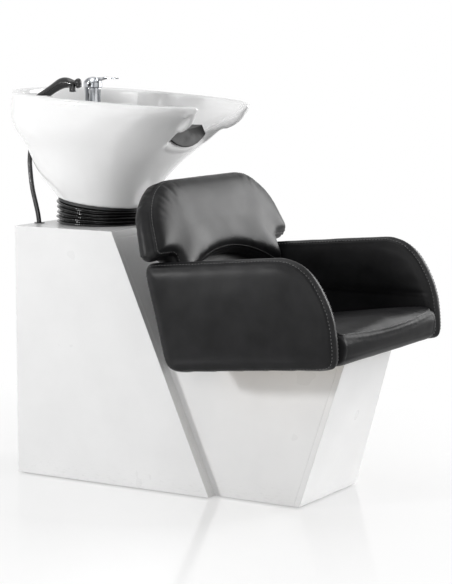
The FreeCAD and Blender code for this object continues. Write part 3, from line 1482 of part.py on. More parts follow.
def mixer():
    """Single lever tap: body with shank and nut, cartridge, turning cap and lever."""
    x, y = "mixer_x", "mixer_y"
    bore = "mixer_radius - mixer_wall"
    floor = "mixer_height - cartridge_height"
    turned_part("mixer_body", [
        (0, "-mixer_shank_length"),
        ("mixer_shank_radius", "-mixer_shank_length"),
        ("mixer_shank_radius", 0),
        ("mixer_radius", 0),
        ("mixer_radius", "mixer_foot_height"),
        ("mixer_waist_radius", "mixer_foot_height * 2"),
        ("mixer_waist_radius", "mixer_height * 3 / 4"),
        ("mixer_radius - mixer_wall / 4", "mixer_height"),
        ("mixer_waist_radius - mixer_wall", "mixer_height"),
        ("mixer_waist_radius - mixer_wall", floor),
        (0, floor),
    ], x, y, "deck_z")
    inner = "mixer_waist_radius - mixer_wall"
    turned_part("mixer_cartridge", [
        (0, floor), (inner, floor), (inner, "mixer_height"), (0, "mixer_height"),
    ], x, y, "deck_z")
    turned_part("mixer_nut", [
        ("mixer_shank_radius", 0),
        ("mixer_nut_radius", 0),
        ("mixer_nut_radius", "mixer_nut_height"),
        ("mixer_shank_radius", "mixer_nut_height"),
    ], x, y, "deck_z - deck_thick - mixer_nut_height")
    cap_low = "deck_z + mixer_height + lever_gap / 2"
    disc = rod("cap_radius", "cap_height", x, y, cap_low)
    lug_y = "mixer_y + cap_lug_reach - cap_lug_half"
    lug_z = cap_low + " + cap_height"
    lug = box("mixer_x - cap_lug_half", lug_y, lug_z, "2 * cap_lug_half", "2 * cap_lug_half", "cap_lug_height")
    pin_z = lug_z + " + lever_pin_rise"
    pin_way = rod(
        "lever_pin_radius + shaft_gap",
        "4 * cap_lug_half",
        "mixer_x - 2 * cap_lug_half",
        "mixer_y + cap_lug_reach",
        pin_z,
        "x",
    )
    node(cut(fuse(disc, lug), pin_way), "mixer_cap")
    pin = rod("lever_pin_radius", "2 * lever_pin_half", "mixer_x - lever_pin_half", "mixer_y + cap_lug_reach", pin_z, "x")
    node(pin, "lever_pin")
    middle_x, middle_y = size.mixer_x, size.mixer_y
    face = size.deck_z + size.mixer_height + size.lever_gap / 2 + size.cap_height
    base = face + size.lever_gap / 2
    radius = size.cap_radius
    tall = size.lever_dome_height
    ball = (radius ** 2 + tall ** 2) / (2 * tall)
    dome = Part.makeSphere(ball, Vector(middle_x, middle_y, base + tall - ball))
    dome = dome.common(Part.makeCylinder(radius, tall, Vector(middle_x, middle_y, base)))
    tip = middle_y - size.lever_length
    thick = size.lever_thick
    root = middle_y - radius / 2
    lever_slack = size.lever_gap
    sections = []
    for along, low, deep, half in (
        (middle_y, base + lever_slack, tall - 2 * lever_slack, size.lever_width / 2),
        (root, base + lever_slack, size.lever_root_thick, size.lever_width / 2),
        (blend(root, tip, LEVER_DOME_SHARE), base + tall - thick, thick, size.lever_width / 2),
        (tip, base + tall - thick, thick / 2, size.lever_tip_width / 2),
    ):
        sections.append(polygon([
            Vector(middle_x - half, along, low),
            Vector(middle_x + half, along, low),
            Vector(middle_x + half, along, low + deep),
            Vector(middle_x - half, along, low + deep),
        ]))
    handle = Part.makeLoft(sections, True, True)
    lug_half = size.cap_lug_half + size.lever_gap
    hinge_y = middle_y + size.cap_lug_reach
    slot_front = hinge_y - 2 * size.cap_lug_half
    slot = Part.makeBox(2 * lug_half, 2 * radius, size.cap_lug_height + 2 * size.lever_gap, Vector(
        middle_x - lug_half, slot_front, base))
    # The underside rises behind the hinge pin, so that the lever can lift
    relief = Part.Face(polygon([
        Vector(middle_x - radius, hinge_y, base),
        Vector(middle_x - radius, hinge_y + radius, base),
        Vector(middle_x - radius, hinge_y + radius, base + radius * LEVER_RELIEF_SHARE),
    ])).extrude(Vector(2 * radius, 0, 0))
    pin_space = Part.makeCylinder(size.lever_pin_radius, 2 * size.lever_pin_half, Vector(
        middle_x - size.lever_pin_half, hinge_y, face + size.lever_pin_rise), Vector(1, 0, 0))
    feature(dome.fuse(handle).cut([slot, relief, pin_space]), "mixer_lever")


def handset():
    """Hand shower that pulls out of its socket in the deck, and its spray nozzle."""
    turned_part("handset_socket", [
        ("handset_tail_radius + shaft_gap", "-socket_sleeve_depth"),
        ("socket_sleeve_radius", "-socket_sleeve_depth"),
        ("socket_sleeve_radius", 0),
        ("socket_radius", 0),
        ("socket_radius - socket_height / 2", "socket_height"),
        ("handset_tail_radius + shaft_gap", "socket_height"),
    ], "-handset_x", "handset_y", "deck_z")
    x, y, z = -size.handset_x, size.handset_y, size.deck_z
    seat_z = z + size.socket_height
    centres = []
    wires = []
    for reach, rise, radius, angle in HANDSET_SHARES:
        centre_z = blend(seat_z, z + size.handset_rise, rise)
        centres.append(Vector(x, y - size.handset_reach * reach, centre_z))
        ring = Part.Wire([Part.makeCircle(size.handset_radius * radius)])
        ring.rotate(Vector(), Vector(1, 0, 0), 90 - angle)
        ring.translate(centres[-1])
        wires.append(ring)
    nose = math.radians(HANDSET_SHARES[-1][3])
    ahead = Vector(0, -math.cos(nose), math.sin(nose))
    spine = Part.BSplineCurve()
    spine.interpolate(Points=centres, InitialTangent=Vector(0, 0, 1), FinalTangent=ahead)
    body = Part.Wire([spine.toShape()]).makePipeShell(wires, True, False)
    tail_high = size.socket_height + size.handset_tail_depth
    tail = Part.makeCylinder(size.handset_tail_radius, tail_high, Vector(x, y, z - size.handset_tail_depth))
    body = body.fuse(tail)
    feature(body, "handset")
    share = size.nozzle_back_share
    head = Vector(x, y - size.handset_reach * share, z + size.handset_rise)
    nozzle = Part.makeCylinder(size.nozzle_radius, size.handset_radius + size.nozzle_length, head, Vector(0, 0, -1))
    feature(nozzle.cut(body).Solids[-1], "handset_nozzle")


cabinet()
pedestal()
floor_frame()
seat_frame()
seat()
backrest(arms())
basin_stand()
plate_bolts = tilt_plate()
basin(plate_bolts)
upper_ring = bellows()
feature(upper_ring.cut(plate_bolts), "bellows_upper_ring")
waste()
inlets()
hoses()
mixer()
handset()

doc.recompute()
for item in doc.Objects:
    if "Invalid" in item.State or "Error" in item.State:
        raise RuntimeError(f"{item.Label} failed: {item.State}")
for item in nodes:
    if item.Shape.isNull() or not item.Shape.isValid() or not item.Shape.Solids:
        raise RuntimeError(f"{item.Label} has no valid solid")
os.makedirs("parts", exist_ok=True)
for item in nodes:
    item.Shape.exportStep(f"parts/{item.Label}.step")
print(len(nodes), "pieces")
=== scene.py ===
"""Hair washing bed: a glazed basin that tilts on a lacquered cabinet, with a padded armchair in front."""
import json
import math

import bmesh
import bpy
import numpy as np
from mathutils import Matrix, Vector, noise
from mathutils.bvhtree import BVHTree
from mathutils.kdtree import KDTree


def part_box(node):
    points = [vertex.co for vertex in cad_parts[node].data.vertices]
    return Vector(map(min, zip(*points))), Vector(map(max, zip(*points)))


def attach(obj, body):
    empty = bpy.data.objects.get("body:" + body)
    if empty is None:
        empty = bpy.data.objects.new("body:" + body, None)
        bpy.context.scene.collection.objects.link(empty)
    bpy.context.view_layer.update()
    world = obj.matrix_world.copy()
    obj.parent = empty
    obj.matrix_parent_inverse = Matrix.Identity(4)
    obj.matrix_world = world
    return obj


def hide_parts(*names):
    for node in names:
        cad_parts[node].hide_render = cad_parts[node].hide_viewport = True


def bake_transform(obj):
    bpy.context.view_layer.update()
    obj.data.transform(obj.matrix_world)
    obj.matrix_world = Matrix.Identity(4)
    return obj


bl_info = {
    "name": "Hair washing bed",
    "version": (1, 0, 0),
    "blender": (4, 5, 0),
    "location": "3D Viewport > Sidebar > Washing bed",
    "description": "Dresses a salon backwash unit: basin, taps, hoses, cabinet and upholstered chair",
    "category": "Object",
}

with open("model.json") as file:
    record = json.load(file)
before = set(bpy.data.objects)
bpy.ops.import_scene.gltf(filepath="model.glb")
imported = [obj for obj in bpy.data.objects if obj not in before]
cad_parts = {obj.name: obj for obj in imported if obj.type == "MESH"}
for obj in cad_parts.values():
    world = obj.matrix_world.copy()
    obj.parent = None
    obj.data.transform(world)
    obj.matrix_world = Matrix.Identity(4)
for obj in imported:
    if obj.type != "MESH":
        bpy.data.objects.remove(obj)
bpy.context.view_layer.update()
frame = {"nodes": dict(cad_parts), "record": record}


# Units
def linear(code):
    """An sRGB hex colour as linear red, green, blue and alpha."""
    values = []
    for start in (1, 3, 5):
        share = int(code[start:start + 2], 16) / 255
        values.append(share / 12.92 if share <= 0.04045 else ((share + 0.055) / 1.055) ** 2.4)
    return (*values, 1.0)


def per_mm(size):
    """A texture scale whose features are about this many millimetres across."""
    return 1000 / size


def millimetres(*points):
    """Points given in millimetres, in metres."""
    return [tuple(value / 1000 for value in point) for point in points]


# Sizes and colours that a user would change
def length(name, description, default):
    """A length property in metres."""
    return bpy.props.FloatProperty(name=name, description=description, default=default, min=0, unit="LENGTH",
                                   subtype="DISTANCE", precision=5)


def colour(name, description, code):
    """A colour property from an sRGB hex value."""
    return bpy.props.FloatVectorProperty(name=name, description=description, default=linear(code), size=4,
                                         min=0, max=1, subtype="COLOR")


class WashingBedSizes(bpy.types.PropertyGroup):
    """Sizes of the upholstery, edges and hoses."""

    stitch_pitch: length("Stitch pitch", "From one stitch to the next", 0.0085)
    stitch_length: length("Stitch length", "Visible length of one stitch", 0.0058)
    thread: length("Thread", "Diameter of the sewing thread", 0.0013)
    seam_depth: length("Seam depth", "How deep a seam pulls the leather in", 0.0018)
    seam_width: length("Seam width", "How wide a seam's groove is", 0.0034)
    cushion_grain: length("Cushion grain", "Mesh size of the cushions before they are inflated", 0.0068)
    cushion_swell: length("Cushion swell", "The most that a cushion's surface may move when inflated", 0.007)
    glaze_grain: length("Glaze grain", "Mesh size of the basin", 0.0034)
    board_edge: length("Board edge", "Rounding of the lacquered boards' edges", 0.0012)
    rib_swell: length("Rib swell", "How far a rib of the boot stands out", 0.0078)


class WashingBedColours(bpy.types.PropertyGroup):
    """Colours of the finishes."""

    lacquer: colour("Lacquer", "Sprayed white lacquer", "#EAEAEA")
    lacquer_shade: colour("Lacquer shade", "The lacquer's darker clouds", "#E6E6E6")
    leather: colour("Leather", "Black faux leather", "#171718")
    leather_worn: colour("Leather highlights", "Faux leather on its grain's tops", "#202021")
    # Painted highlight: the thread is black, and this light grey stands in for its glints
    thread: colour("Thread", "Sewing thread", "#6A6A6A")
    glaze: colour("Glaze", "White ceramic glaze", "#F2F2F2")
    rubber: colour("Rubber", "Black moulded rubber", "#0D0D0D")
    neck: colour("Neck rest", "Grey cast rubber", "#1E1E1E")
    chrome: colour("Chrome", "Chromium plating", "#C6C8CB")
    gloss_black: colour("Gloss black", "Black moulded plastic", "#141415")
    hose: colour("Hose", "Black hose cover", "#151516")


# Materials
class Nodes:
    """A node tree in the making."""

    def __init__(self, tree):
        """Work on this tree."""
        self.tree = tree

    def add(self, kind, settings=None, inputs=None):
        """A new node with its settings, and with values or links on its inputs."""
        node = self.tree.nodes.new(kind)
        for name, value in (settings or {}).items():
            setattr(node, name, value)
        for name, value in (inputs or {}).items():
            socket = node.inputs[name]
            if isinstance(value, bpy.types.NodeSocket):
                self.tree.links.new(value, socket)
            else:
                socket.default_value = value
        return node

    def place(self, kind="Object"):
        """Where a point lies on the object, in metres."""
        return self.add("ShaderNodeTexCoord").outputs[kind]

    def clouds(self, size, detail=3.0, stretch=(1, 1, 1), place=None):
        """Noise whose clouds are about this many millimetres across."""
        mapped = self.add("ShaderNodeMapping", None, {"Vector": place or self.place(), "Scale": stretch})
        noises = self.add("ShaderNodeTexNoise", None, {
            "Vector": mapped.outputs["Vector"], "Scale": per_mm(size), "Detail": detail, "Roughness": 0.5})
        return noises.outputs["Fac"]

    def calculate(self, operation, *values):
        """The result of an operation on values or sockets."""
        return self.add("ShaderNodeMath", {"operation": operation}, dict(enumerate(values))).outputs[0]

    def between(self, share, low, high):
        """A colour between two, by a share."""
        return self.add("ShaderNodeMix", {"data_type": "RGBA"}, {0: share, 6: low, 7: high}).outputs[2]

    def ramp(self, value, low, high, start, end):
        """A value from start to end while the input goes from low to high."""
        node = self.add("ShaderNodeMapRange", None, {
            "Value": value, "From Min": low, "From Max": high, "To Min": start, "To Max": end})
        return node.outputs["Result"]

    def tint(self, value, low, high, start, end):
        """A colour from start to end while the input goes from low to high."""
        return self.between(self.ramp(value, low, high, 0.0, 1.0), start, end)

    def mixed(self, share, first, second):
        """Two shaders mixed by a share."""
        return self.add("ShaderNodeMixShader", None, {0: share, 1: first, 2: second}).outputs[0]

    def shader(self, kind, code, **more):
        """The output of a shader node of this colour."""
        return self.add(kind, None, {"Color": linear(code), **more}).outputs[0]

    def by_ray(self, seen, lit):
        """One shader for camera, mirror and glass rays, and another for the rays that light the object."""
        rays = self.add("ShaderNodeLightPath").outputs
        some = self.calculate("MAXIMUM", rays["Is Camera Ray"], rays["Is Glossy Ray"])
        return self.mixed(self.calculate("MAXIMUM", some, rays["Is Transmission Ray"]), lit, seen)


class Surface(Nodes):
    """A material with one Principled shader."""

    def __init__(self, name, base, roughness, **more):
        """Start with the constants that are the same all over."""
        self.material = bpy.data.materials.new(name)
        self.material.use_nodes = True
        super().__init__(self.material.node_tree)
        self.inputs = self.tree.nodes["Principled BSDF"].inputs
        self.inputs["Base Color"].default_value = base
        self.inputs["Roughness"].default_value = roughness
        for socket, value in more.items():
            self.inputs[socket.replace("_", " ")].default_value = value
        self.material.diffuse_color = base

    def connect(self, colour, roughness, height, depth, strength):
        """Link a colour, a roughness and a bump height to the shader; gives the material."""
        self.tree.links.new(colour, self.inputs["Base Color"])
        if roughness:
            self.tree.links.new(roughness, self.inputs["Roughness"])
        bump = self.add("ShaderNodeBump", None, {"Strength": strength, "Distance": depth, "Height": height})
        self.tree.links.new(bump.outputs["Normal"], self.inputs["Normal"])
        return self.material


def sprayed_lacquer(colours):
    """Polyurethane lacquer sprayed on board: even white, a soft gloss and scuffs near the floor."""
    skin = Surface(
        "sprayed_white_lacquer", colours.lacquer, 0.3, IOR=1.5, Coat_Weight=0.15, Coat_Roughness=0.12)
    # Spray overlaps show as clouds a hand's width across
    broad = skin.clouds(140)
    tone = skin.tint(broad, 0.35, 0.65, colours.lacquer, colours.lacquer_shade)
    # Shoes and mops scuff the lowest 60 mm
    height = skin.add("ShaderNodeSeparateXYZ", None, {"Vector": skin.place()}).outputs["Z"]
    low = skin.ramp(height, 0.012, 0.06, 1.0, 0.0)
    scuff = skin.clouds(14, 3.0, (1, 1, 4))
    mark = skin.calculate("MULTIPLY", low, skin.ramp(scuff, 0.55, 0.75, 0.0, 0.2))
    marked = skin.between(mark, tone, linear("#B9B9B9"))
    # Orange peel is about 1.5 mm across; 4 mm shows at this distance
    peel = skin.clouds(4, 2.0)
    rough = skin.ramp(broad, 0.3, 0.7, 0.27, 0.33)
    return skin.connect(marked, rough, peel, 0.00001, 0.08)


def embossed_faux_leather(colours, name="embossed_black_faux_leather", gloss=0.16):
    """Polyurethane on knitted cloth, embossed with a grain: near black, a satin sheen on fine pebbles."""
    skin = Surface(name, colours.leather, 0.39, IOR=1.48, Specular_IOR_Level=gloss)
    # The real grain is 0.8 mm across; 2.4 mm cells still read as grain in the render
    cells = skin.add("ShaderNodeTexVoronoi", {"feature": "DISTANCE_TO_EDGE"}, {
        "Vector": skin.place(), "Scale": per_mm(2.4), "Randomness": 0.9})
    pebble = skin.ramp(cells.outputs["Distance"], 0.0, 0.25, 0.0, 1.0)
    fine = skin.clouds(1.1, 2.0)
    height = skin.calculate("MULTIPLY_ADD", fine, 0.35, pebble)
    broad = skin.clouds(55, 4.0)
    tone = skin.tint(broad, 0.35, 0.68, colours.leather, colours.leather_worn)
    # Sitting polishes the leather in patches a palm wide
    rough = skin.ramp(broad, 0.3, 0.7, 0.36, 0.42)
    return skin.connect(tone, rough, height, 0.00012, 0.25)


def shaded_seat_faux_leather(colours):
    """The seat's faux leather: the same grain with a weaker sheen, painted shade that keeps the seat darker
    than the arms and backrest.
    """
    return embossed_faux_leather(colours, "shaded_seat_black_faux_leather", 0.045)


def bonded_thread(colours):
    """Bonded nylon thread: a twisted cord with a dull shine, lighter than the leather; its light grey is a
    painted highlight on black thread that stands in for the glints along the stitches.
    """
    skin = Surface("bonded_nylon_thread", colours.thread, 0.45, IOR=1.5, Sheen_Weight=0.2)
    # Two plies twist every millimetre
    twist = skin.clouds(1.0, 1.0)
    tone = skin.tint(twist, 0.4, 0.6, linear("#4B4B4B"), colours.thread)
    return skin.connect(tone, None, twist, 0.0002, 0.6)


def fired_glaze(colours):
    """Vitreous china, dipped and fired: a wet gloss over white, with slow waves where the glaze has run."""
    skin = Surface(
        "fired_white_glaze", colours.glaze, 0.1, IOR=1.52, Coat_Weight=0.3, Coat_Roughness=0.03)
    # Runs in the glaze are 30 to 60 mm apart
    waves = skin.clouds(45, 2.0, (1, 1, 0.5))
    tone = skin.between(waves, colours.glaze, linear("#F5F5F5"))
    pores = skin.clouds(2.5, 2.0)
    rough = skin.ramp(pores, 0.3, 0.7, 0.07, 0.13)
    return skin.connect(tone, rough, waves, 0.0006, 0.35)


def moulded_rubber(colours):
    """Moulded rubber, wiped with silicone: black, a wet line along each rib and a trace of mould bloom."""
    skin = Surface("moulded_black_rubber", colours.rubber, 0.18, IOR=1.52)
    # Bloom lies in smears 12 mm across
    bloom = skin.clouds(12, 5.0, (1, 1, 3))
    tone = skin.tint(bloom, 0.5, 0.75, colours.rubber, linear("#191919"))
    rough = skin.ramp(bloom, 0.35, 0.7, 0.12, 0.24)
    fine = skin.clouds(1.6, 2.0)
    return skin.connect(tone, rough, fine, 0.00002, 0.2)


def cast_neck_rubber(colours):
    """Cast gel rubber: a dull dark grey that lamps only soften, with a fine skin."""
    skin = Surface("cast_grey_rubber", colours.neck, 0.5, IOR=1.45, Specular_IOR_Level=0.22)
    # The cast skin ripples every 3 mm
    ripples = skin.clouds(3, 4.0)
    wear = skin.clouds(26, 2.0)
    tone = skin.tint(wear, 0.35, 0.7, colours.neck, linear("#282828"))
    rough = skin.ramp(wear, 0.3, 0.7, 0.42, 0.55)
    return skin.connect(tone, rough, ripples, 0.0001, 0.5)


def extruded_hose_cover(colours):
    """Extruded vinyl cover: black and evenly glossy, with faint draw lines along it."""
    skin = Surface("extruded_black_vinyl", colours.hose, 0.22, IOR=1.53)
    along = skin.place("UV")
    # Draw lines are 0.5 mm apart round the hose; drawn 2 mm apart
    lines = skin.clouds(2, 1.0, (1, 0.02, 1), along)
    dust = skin.clouds(8, 4.0)
    tone = skin.tint(dust, 0.45, 0.75, colours.hose, linear("#1F1F20"))
    rough = skin.ramp(dust, 0.3, 0.7, 0.18, 0.26)
    return skin.connect(tone, rough, lines, 0.00003, 0.25)


def braided_steel(colours):
    """Stainless wire braided over a hose: crossed bright strands with dark gaps."""
    skin = Surface("braided_stainless_wire", linear("#B9BBBD"), 0.32, Metallic=1.0)
    along = skin.place("UV")
    strands = []
    for turn in (0.7, -0.7):
        mapped = skin.add("ShaderNodeMapping", None, {"Vector": along, "Rotation": (0, 0, turn)})
        # Flat bundles of wire, 2 mm wide
        wave = skin.add("ShaderNodeTexWave", None, {
            "Vector": mapped.outputs["Vector"], "Scale": per_mm(2) / 6.28})
        strands.append(wave.outputs["Fac"])
    top = skin.calculate("MAXIMUM", *strands)
    tone = skin.tint(top, 0.3, 0.8, linear("#3A3B3C"), linear("#C4C6C8"))
    return skin.connect(tone, None, top, 0.0004, 0.8)


def plated_chrome(colours):
    """Brass, polished and chromium plated: a mirror with hair-thin wiping marks, and upright grey streaks of
    painted reflection.
    """
    skin = Surface("polished_chrome_plate", colours.chrome, 0.07, Metallic=1.0)
    # Wiping marks run about 6 mm long
    marks = skin.clouds(6, 6.0, (1, 1, 0.25))
    rough = skin.ramp(marks, 0.35, 0.75, 0.05, 0.14)
    # Painted reflection: upright grey streaks about 9 mm apart stand in for the dark reflections that
    # polished chrome shows
    painted_reflection_streaks = skin.clouds(9, 2.0, (1, 1, 0.12))
    tone = skin.tint(painted_reflection_streaks, 0.4, 0.6, linear("#74777B"), colours.chrome)
    return skin.connect(tone, rough, marks, 0.00002, 0.3)


def moulded_gloss_plastic(colours):
    """Injection moulded ABS: piano black, sharp highlights, a few soft finger smears."""
    skin = Surface("moulded_gloss_black_abs", colours.gloss_black, 0.12, IOR=1.53)
    # A fingertip's smear is about 10 mm
    smear = skin.clouds(10, 4.0)
    rough = skin.ramp(smear, 0.45, 0.7, 0.09, 0.26)
    tone = skin.tint(smear, 0.4, 0.8, colours.gloss_black, linear("#1E1E1F"))
    return skin.connect(tone, rough, smear, 0.00003, 0.3)


def metal(name, dark, light, low, high, size, stretch=(1, 1, 1), depth=0.00004):
    """A metal whose tone and gloss change from patch to patch."""
    skin = Surface(name, linear(light), high, Metallic=1.0)
    patches = skin.clouds(size, 4.0, stretch)
    tone = skin.tint(patches, 0.35, 0.65, linear(dark), linear(light))
    rough = skin.ramp(patches, 0.3, 0.7, low, high)
    return skin.connect(tone, rough, patches, depth, 0.5)


def brushed_stainless(colours):
    """Stainless sheet, brushed: grey with streaks along X, 2 mm apart."""
    return metal("brushed_stainless_steel", "#9FA1A3", "#C2C4C6", 0.2, 0.34, 2, (0.05, 1, 1))


def zinc_plate(colours):
    """Zinc plated steel: cool grey in dull spangles about 8 mm across."""
    return metal("zinc_plated_steel", "#8D9296", "#B4B8BB", 0.34, 0.5, 8)


def turned_brass(colours):
    """Turned brass: yellow, with tool marks 1.5 mm apart round the axis."""
    return metal("turned_brass", "#9C7A35", "#C7A35A", 0.2, 0.35, 3, (0.3, 0.3, 2))


def powder_coat(colours):
    """Powder coated steel: flat near-black with a fine orange peel."""
    skin = Surface("powder_coated_steel", linear("#1D1E1F"), 0.5, IOR=1.5)
    # The cured powder's peel is 1.2 mm; drawn at 3 mm
    peel = skin.clouds(3, 2.0)
    dust = skin.clouds(40, 4.0)
    tone = skin.tint(dust, 0.45, 0.7, linear("#1B1C1D"), linear("#2B2B2B"))
    rough = skin.ramp(dust, 0.3, 0.7, 0.42, 0.6)
    return skin.connect(tone, rough, peel, 0.0001, 0.5)


def birch_plywood(colours):
    """Birch plywood, sanded: pale brown with fine grain along Y."""
    skin = Surface("sanded_birch_plywood", linear("#C2B093"), 0.6, IOR=1.5)
    # Grain lines are 4 mm apart and many times as long
    grain = skin.clouds(4, 5.0, (1, 0.06, 1))
    tone = skin.tint(grain, 0.35, 0.65, linear("#A5937A"), linear("#CDBEA4"))
    rough = skin.ramp(grain, 0.3, 0.7, 0.5, 0.7)
    return skin.connect(tone, rough, grain, 0.0002, 0.4)


def stained_plywood(colours):
    """Plywood, stained black: the grain along X shows as faint ridges."""
    skin = Surface("black_stained_plywood", linear("#151515"), 0.6, IOR=1.5)
    # Grain lines are 4 mm apart
    grain = skin.clouds(4, 4.0, (0.06, 1, 1))
    tone = skin.between(grain, linear("#111111"), linear("#1D1D1D"))
    rough = skin.ramp(grain, 0.3, 0.7, 0.52, 0.7)
    return skin.connect(tone, rough, grain, 0.0002, 0.4)


def moulded_grey_plastic(colours):
    """Moulded polypropylene: matt grey with a spark-eroded texture."""
    skin = Surface("moulded_grey_polypropylene", linear("#8B8D8F"), 0.5, IOR=1.49)
    # The mould's texture is 0.5 mm; drawn at 1.5 mm
    texture = skin.clouds(1.5, 2.0)
    patch = skin.clouds(30, 3.0)
    tone = skin.between(patch, linear("#7F8183"), linear("#97999B"))
    rough = skin.ramp(texture, 0.3, 0.7, 0.44, 0.58)
    return skin.connect(tone, rough, texture, 0.0001, 0.5)


def studio_floor():
    """Painted studio floor: pale, keeps a soft shadow by the object and is white further off."""
    material = bpy.data.materials.new("painted_studio_floor")
    material.use_nodes = True
    nodes = Nodes(material.node_tree)
    nodes.tree.nodes.clear()
    paint = nodes.shader("ShaderNodeBsdfDiffuse", "#EFEFEF")
    thin = nodes.shader("ShaderNodeBsdfDiffuse", "#A8A8A8")
    lit = nodes.shader("ShaderNodeEmission", "#FFFFFF", Strength=0.62)
    matt = nodes.add("ShaderNodeAddShader", None, {0: thin, 1: lit}).outputs[0]
    # The waxed paint mirrors the foot of the cabinet softly
    wax = nodes.shader("ShaderNodeBsdfGlossy", "#F4F4F4", Roughness=0.1)
    far = nodes.shader("ShaderNodeEmission", "#FFFFFF", Strength=1.0)
    reach = nodes.add("ShaderNodeVectorMath", {"operation": "LENGTH"}, {0: nodes.place()}).outputs["Value"]
    seen = nodes.mixed(nodes.ramp(reach, 0.55, 1.35, 0.0, 1.0), nodes.mixed(0.3, matt, wax), far)
    nodes.add("ShaderNodeOutputMaterial", None, {"Surface": nodes.by_ray(seen, paint)})
    return material


MATERIALS = {
    "white_lacquer": sprayed_lacquer,
    "plywood": birch_plywood,
    "black_plywood": stained_plywood,
    "black_leatherette": embossed_faux_leather,
    # The seat's leather is a copy with a weaker sheen: painted shade
    "seat_leatherette": shaded_seat_faux_leather,
    "black_painted_steel": powder_coat,
    "zinc_plated_steel": zinc_plate,
    "stainless_steel": brushed_stainless,
    "glazed_ceramic": fired_glaze,
    "grey_rubber": cast_neck_rubber,
    "black_rubber": moulded_rubber,
    "braided_hose": braided_steel,
    "grey_plastic": moulded_grey_plastic,
    "black_gloss_plastic": moulded_gloss_plastic,
    "chromed_brass": plated_chrome,
    "brass": turned_brass,
    "thread": bonded_thread,
    "hose_cover": extruded_hose_cover,
}
made = {}


def material_of(name):
    """The material of this name, made once."""
    if name not in made:
        made[name] = MATERIALS[name](bpy.context.scene.washing_bed_colours)
    return made[name]


# Meshes
def put(name, mesh, finish, smooth=True):
    """A new object in the scene with one material."""
    if finish:
        mesh.materials.clear()
        mesh.materials.append(material_of(finish))
    if smooth:
        mesh.polygons.foreach_set("use_smooth", [True] * len(mesh.polygons))
    piece = bpy.data.objects.new(name, mesh)
    bpy.context.scene.collection.objects.link(piece)
    return piece


def mesh_from(name, points, faces):
    """A mesh from points and faces."""
    mesh = bpy.data.meshes.new(name)
    mesh.from_pydata([tuple(p) for p in points], [], faces)
    mesh.validate()
    mesh.update()
    return mesh


def bake(piece):
    """Make what the modifiers give the piece's own mesh."""
    depsgraph = bpy.context.evaluated_depsgraph_get()
    mesh = bpy.data.meshes.new_from_object(piece.evaluated_get(depsgraph), depsgraph=depsgraph)
    old = piece.data
    piece.modifiers.clear()
    piece.data = mesh
    bpy.data.meshes.remove(old)


def node_form(nodes):
    """The joined forms of some nodes, with their points merged."""
    form = bmesh.new()
    for node in nodes:
        form.from_mesh(frame["nodes"][node].data)
    bmesh.ops.remove_doubles(form, verts=form.verts, dist=0.00001)
    bmesh.ops.recalc_face_normals(form, faces=form.faces)
    return form


def finish_mesh(mesh, finish):
    """Shade a mesh smooth and make sure that it has its material."""
    mesh.polygons.foreach_set("use_smooth", [True] * len(mesh.polygons))
    if not mesh.materials:
        mesh.materials.append(material_of(finish))


def ring_faces(rings, sides, base=0):
    """Faces between rings of points that follow one another, with both ends closed."""
    faces = []
    for ring in range(rings - 1):
        for k in range(sides):
            a = base + ring * sides + k
            b = base + ring * sides + (k + 1) % sides
            faces.append((a, b, b + sides, a + sides))
    last = base + (rings - 1) * sides
    faces.append(tuple(base + k for k in reversed(range(sides))))
    faces.append(tuple(last + k for k in range(sides)))
    return faces


def round_points(centre, across, up, radius, sides):
    """Points of a ring round a centre."""
    angles = [2 * math.pi * k / sides for k in range(sides)]
    return [centre + (across * math.cos(angle) + up * math.sin(angle)) * radius for angle in angles]


def read_points(mesh):
    """The mesh's points as an array."""
    points = np.empty(len(mesh.vertices) * 3)
    mesh.vertices.foreach_get("co", points)
    return points.reshape(-1, 3)


def write_points(mesh, points):
    """Move the mesh's points."""
    mesh.vertices.foreach_set("co", np.ascontiguousarray(points).ravel())
    mesh.update()


def read_normals(mesh):
    """The normals at the mesh's points."""
    normals = np.empty(len(mesh.vertices) * 3)
    mesh.vertex_normals.foreach_get("vector", normals)
    return normals.reshape(-1, 3)


def soft_step(values, low, high):
    """From 0 below low to 1 above high, without corners."""
    share = np.clip((values - low) / (high - low), 0, 1)
    return share * share * (3 - 2 * share)


# A relaxed point keeps this share of its place and takes the rest from its neighbours
KEPT_SHARE, DRAWN_SHARE = 0.45, 0.55


def relax(mesh, points, passes):
    """Points drawn towards their neighbours."""
    edges = np.empty(len(mesh.edges) * 2, dtype=np.int64)
    mesh.edges.foreach_get("vertices", edges)
    edges = edges.reshape(-1, 2)
    count = np.maximum(np.bincount(edges.ravel(), minlength=len(points)), 1)[:, None]
    for _ in range(passes):
        total = np.zeros_like(points)
        for axis in range(3):
            total[:, axis] = np.bincount(edges[:, 0], points[edges[:, 1], axis], len(points))
            total[:, axis] += np.bincount(edges[:, 1], points[edges[:, 0], axis], len(points))
        points = points * KEPT_SHARE + total / count * DRAWN_SHARE
    return points


def gaps_to(tree, points):
    """How far each point is from the nearest point of a search tree."""
    return np.array([tree.find(p)[2] for p in points])


def near_tree(points):
    """A search tree of points."""
    tree = KDTree(len(points))
    for i, point in enumerate(points):
        tree.insert(point, i)
    tree.balance()
    return tree


# Radians between two faces from which their edge counts as sharp
SHARP_ANGLE = 0.5
# Passes that melt the soft places of a form, and that even them out again
MELT_PASSES, EVEN_PASSES = 60, 4


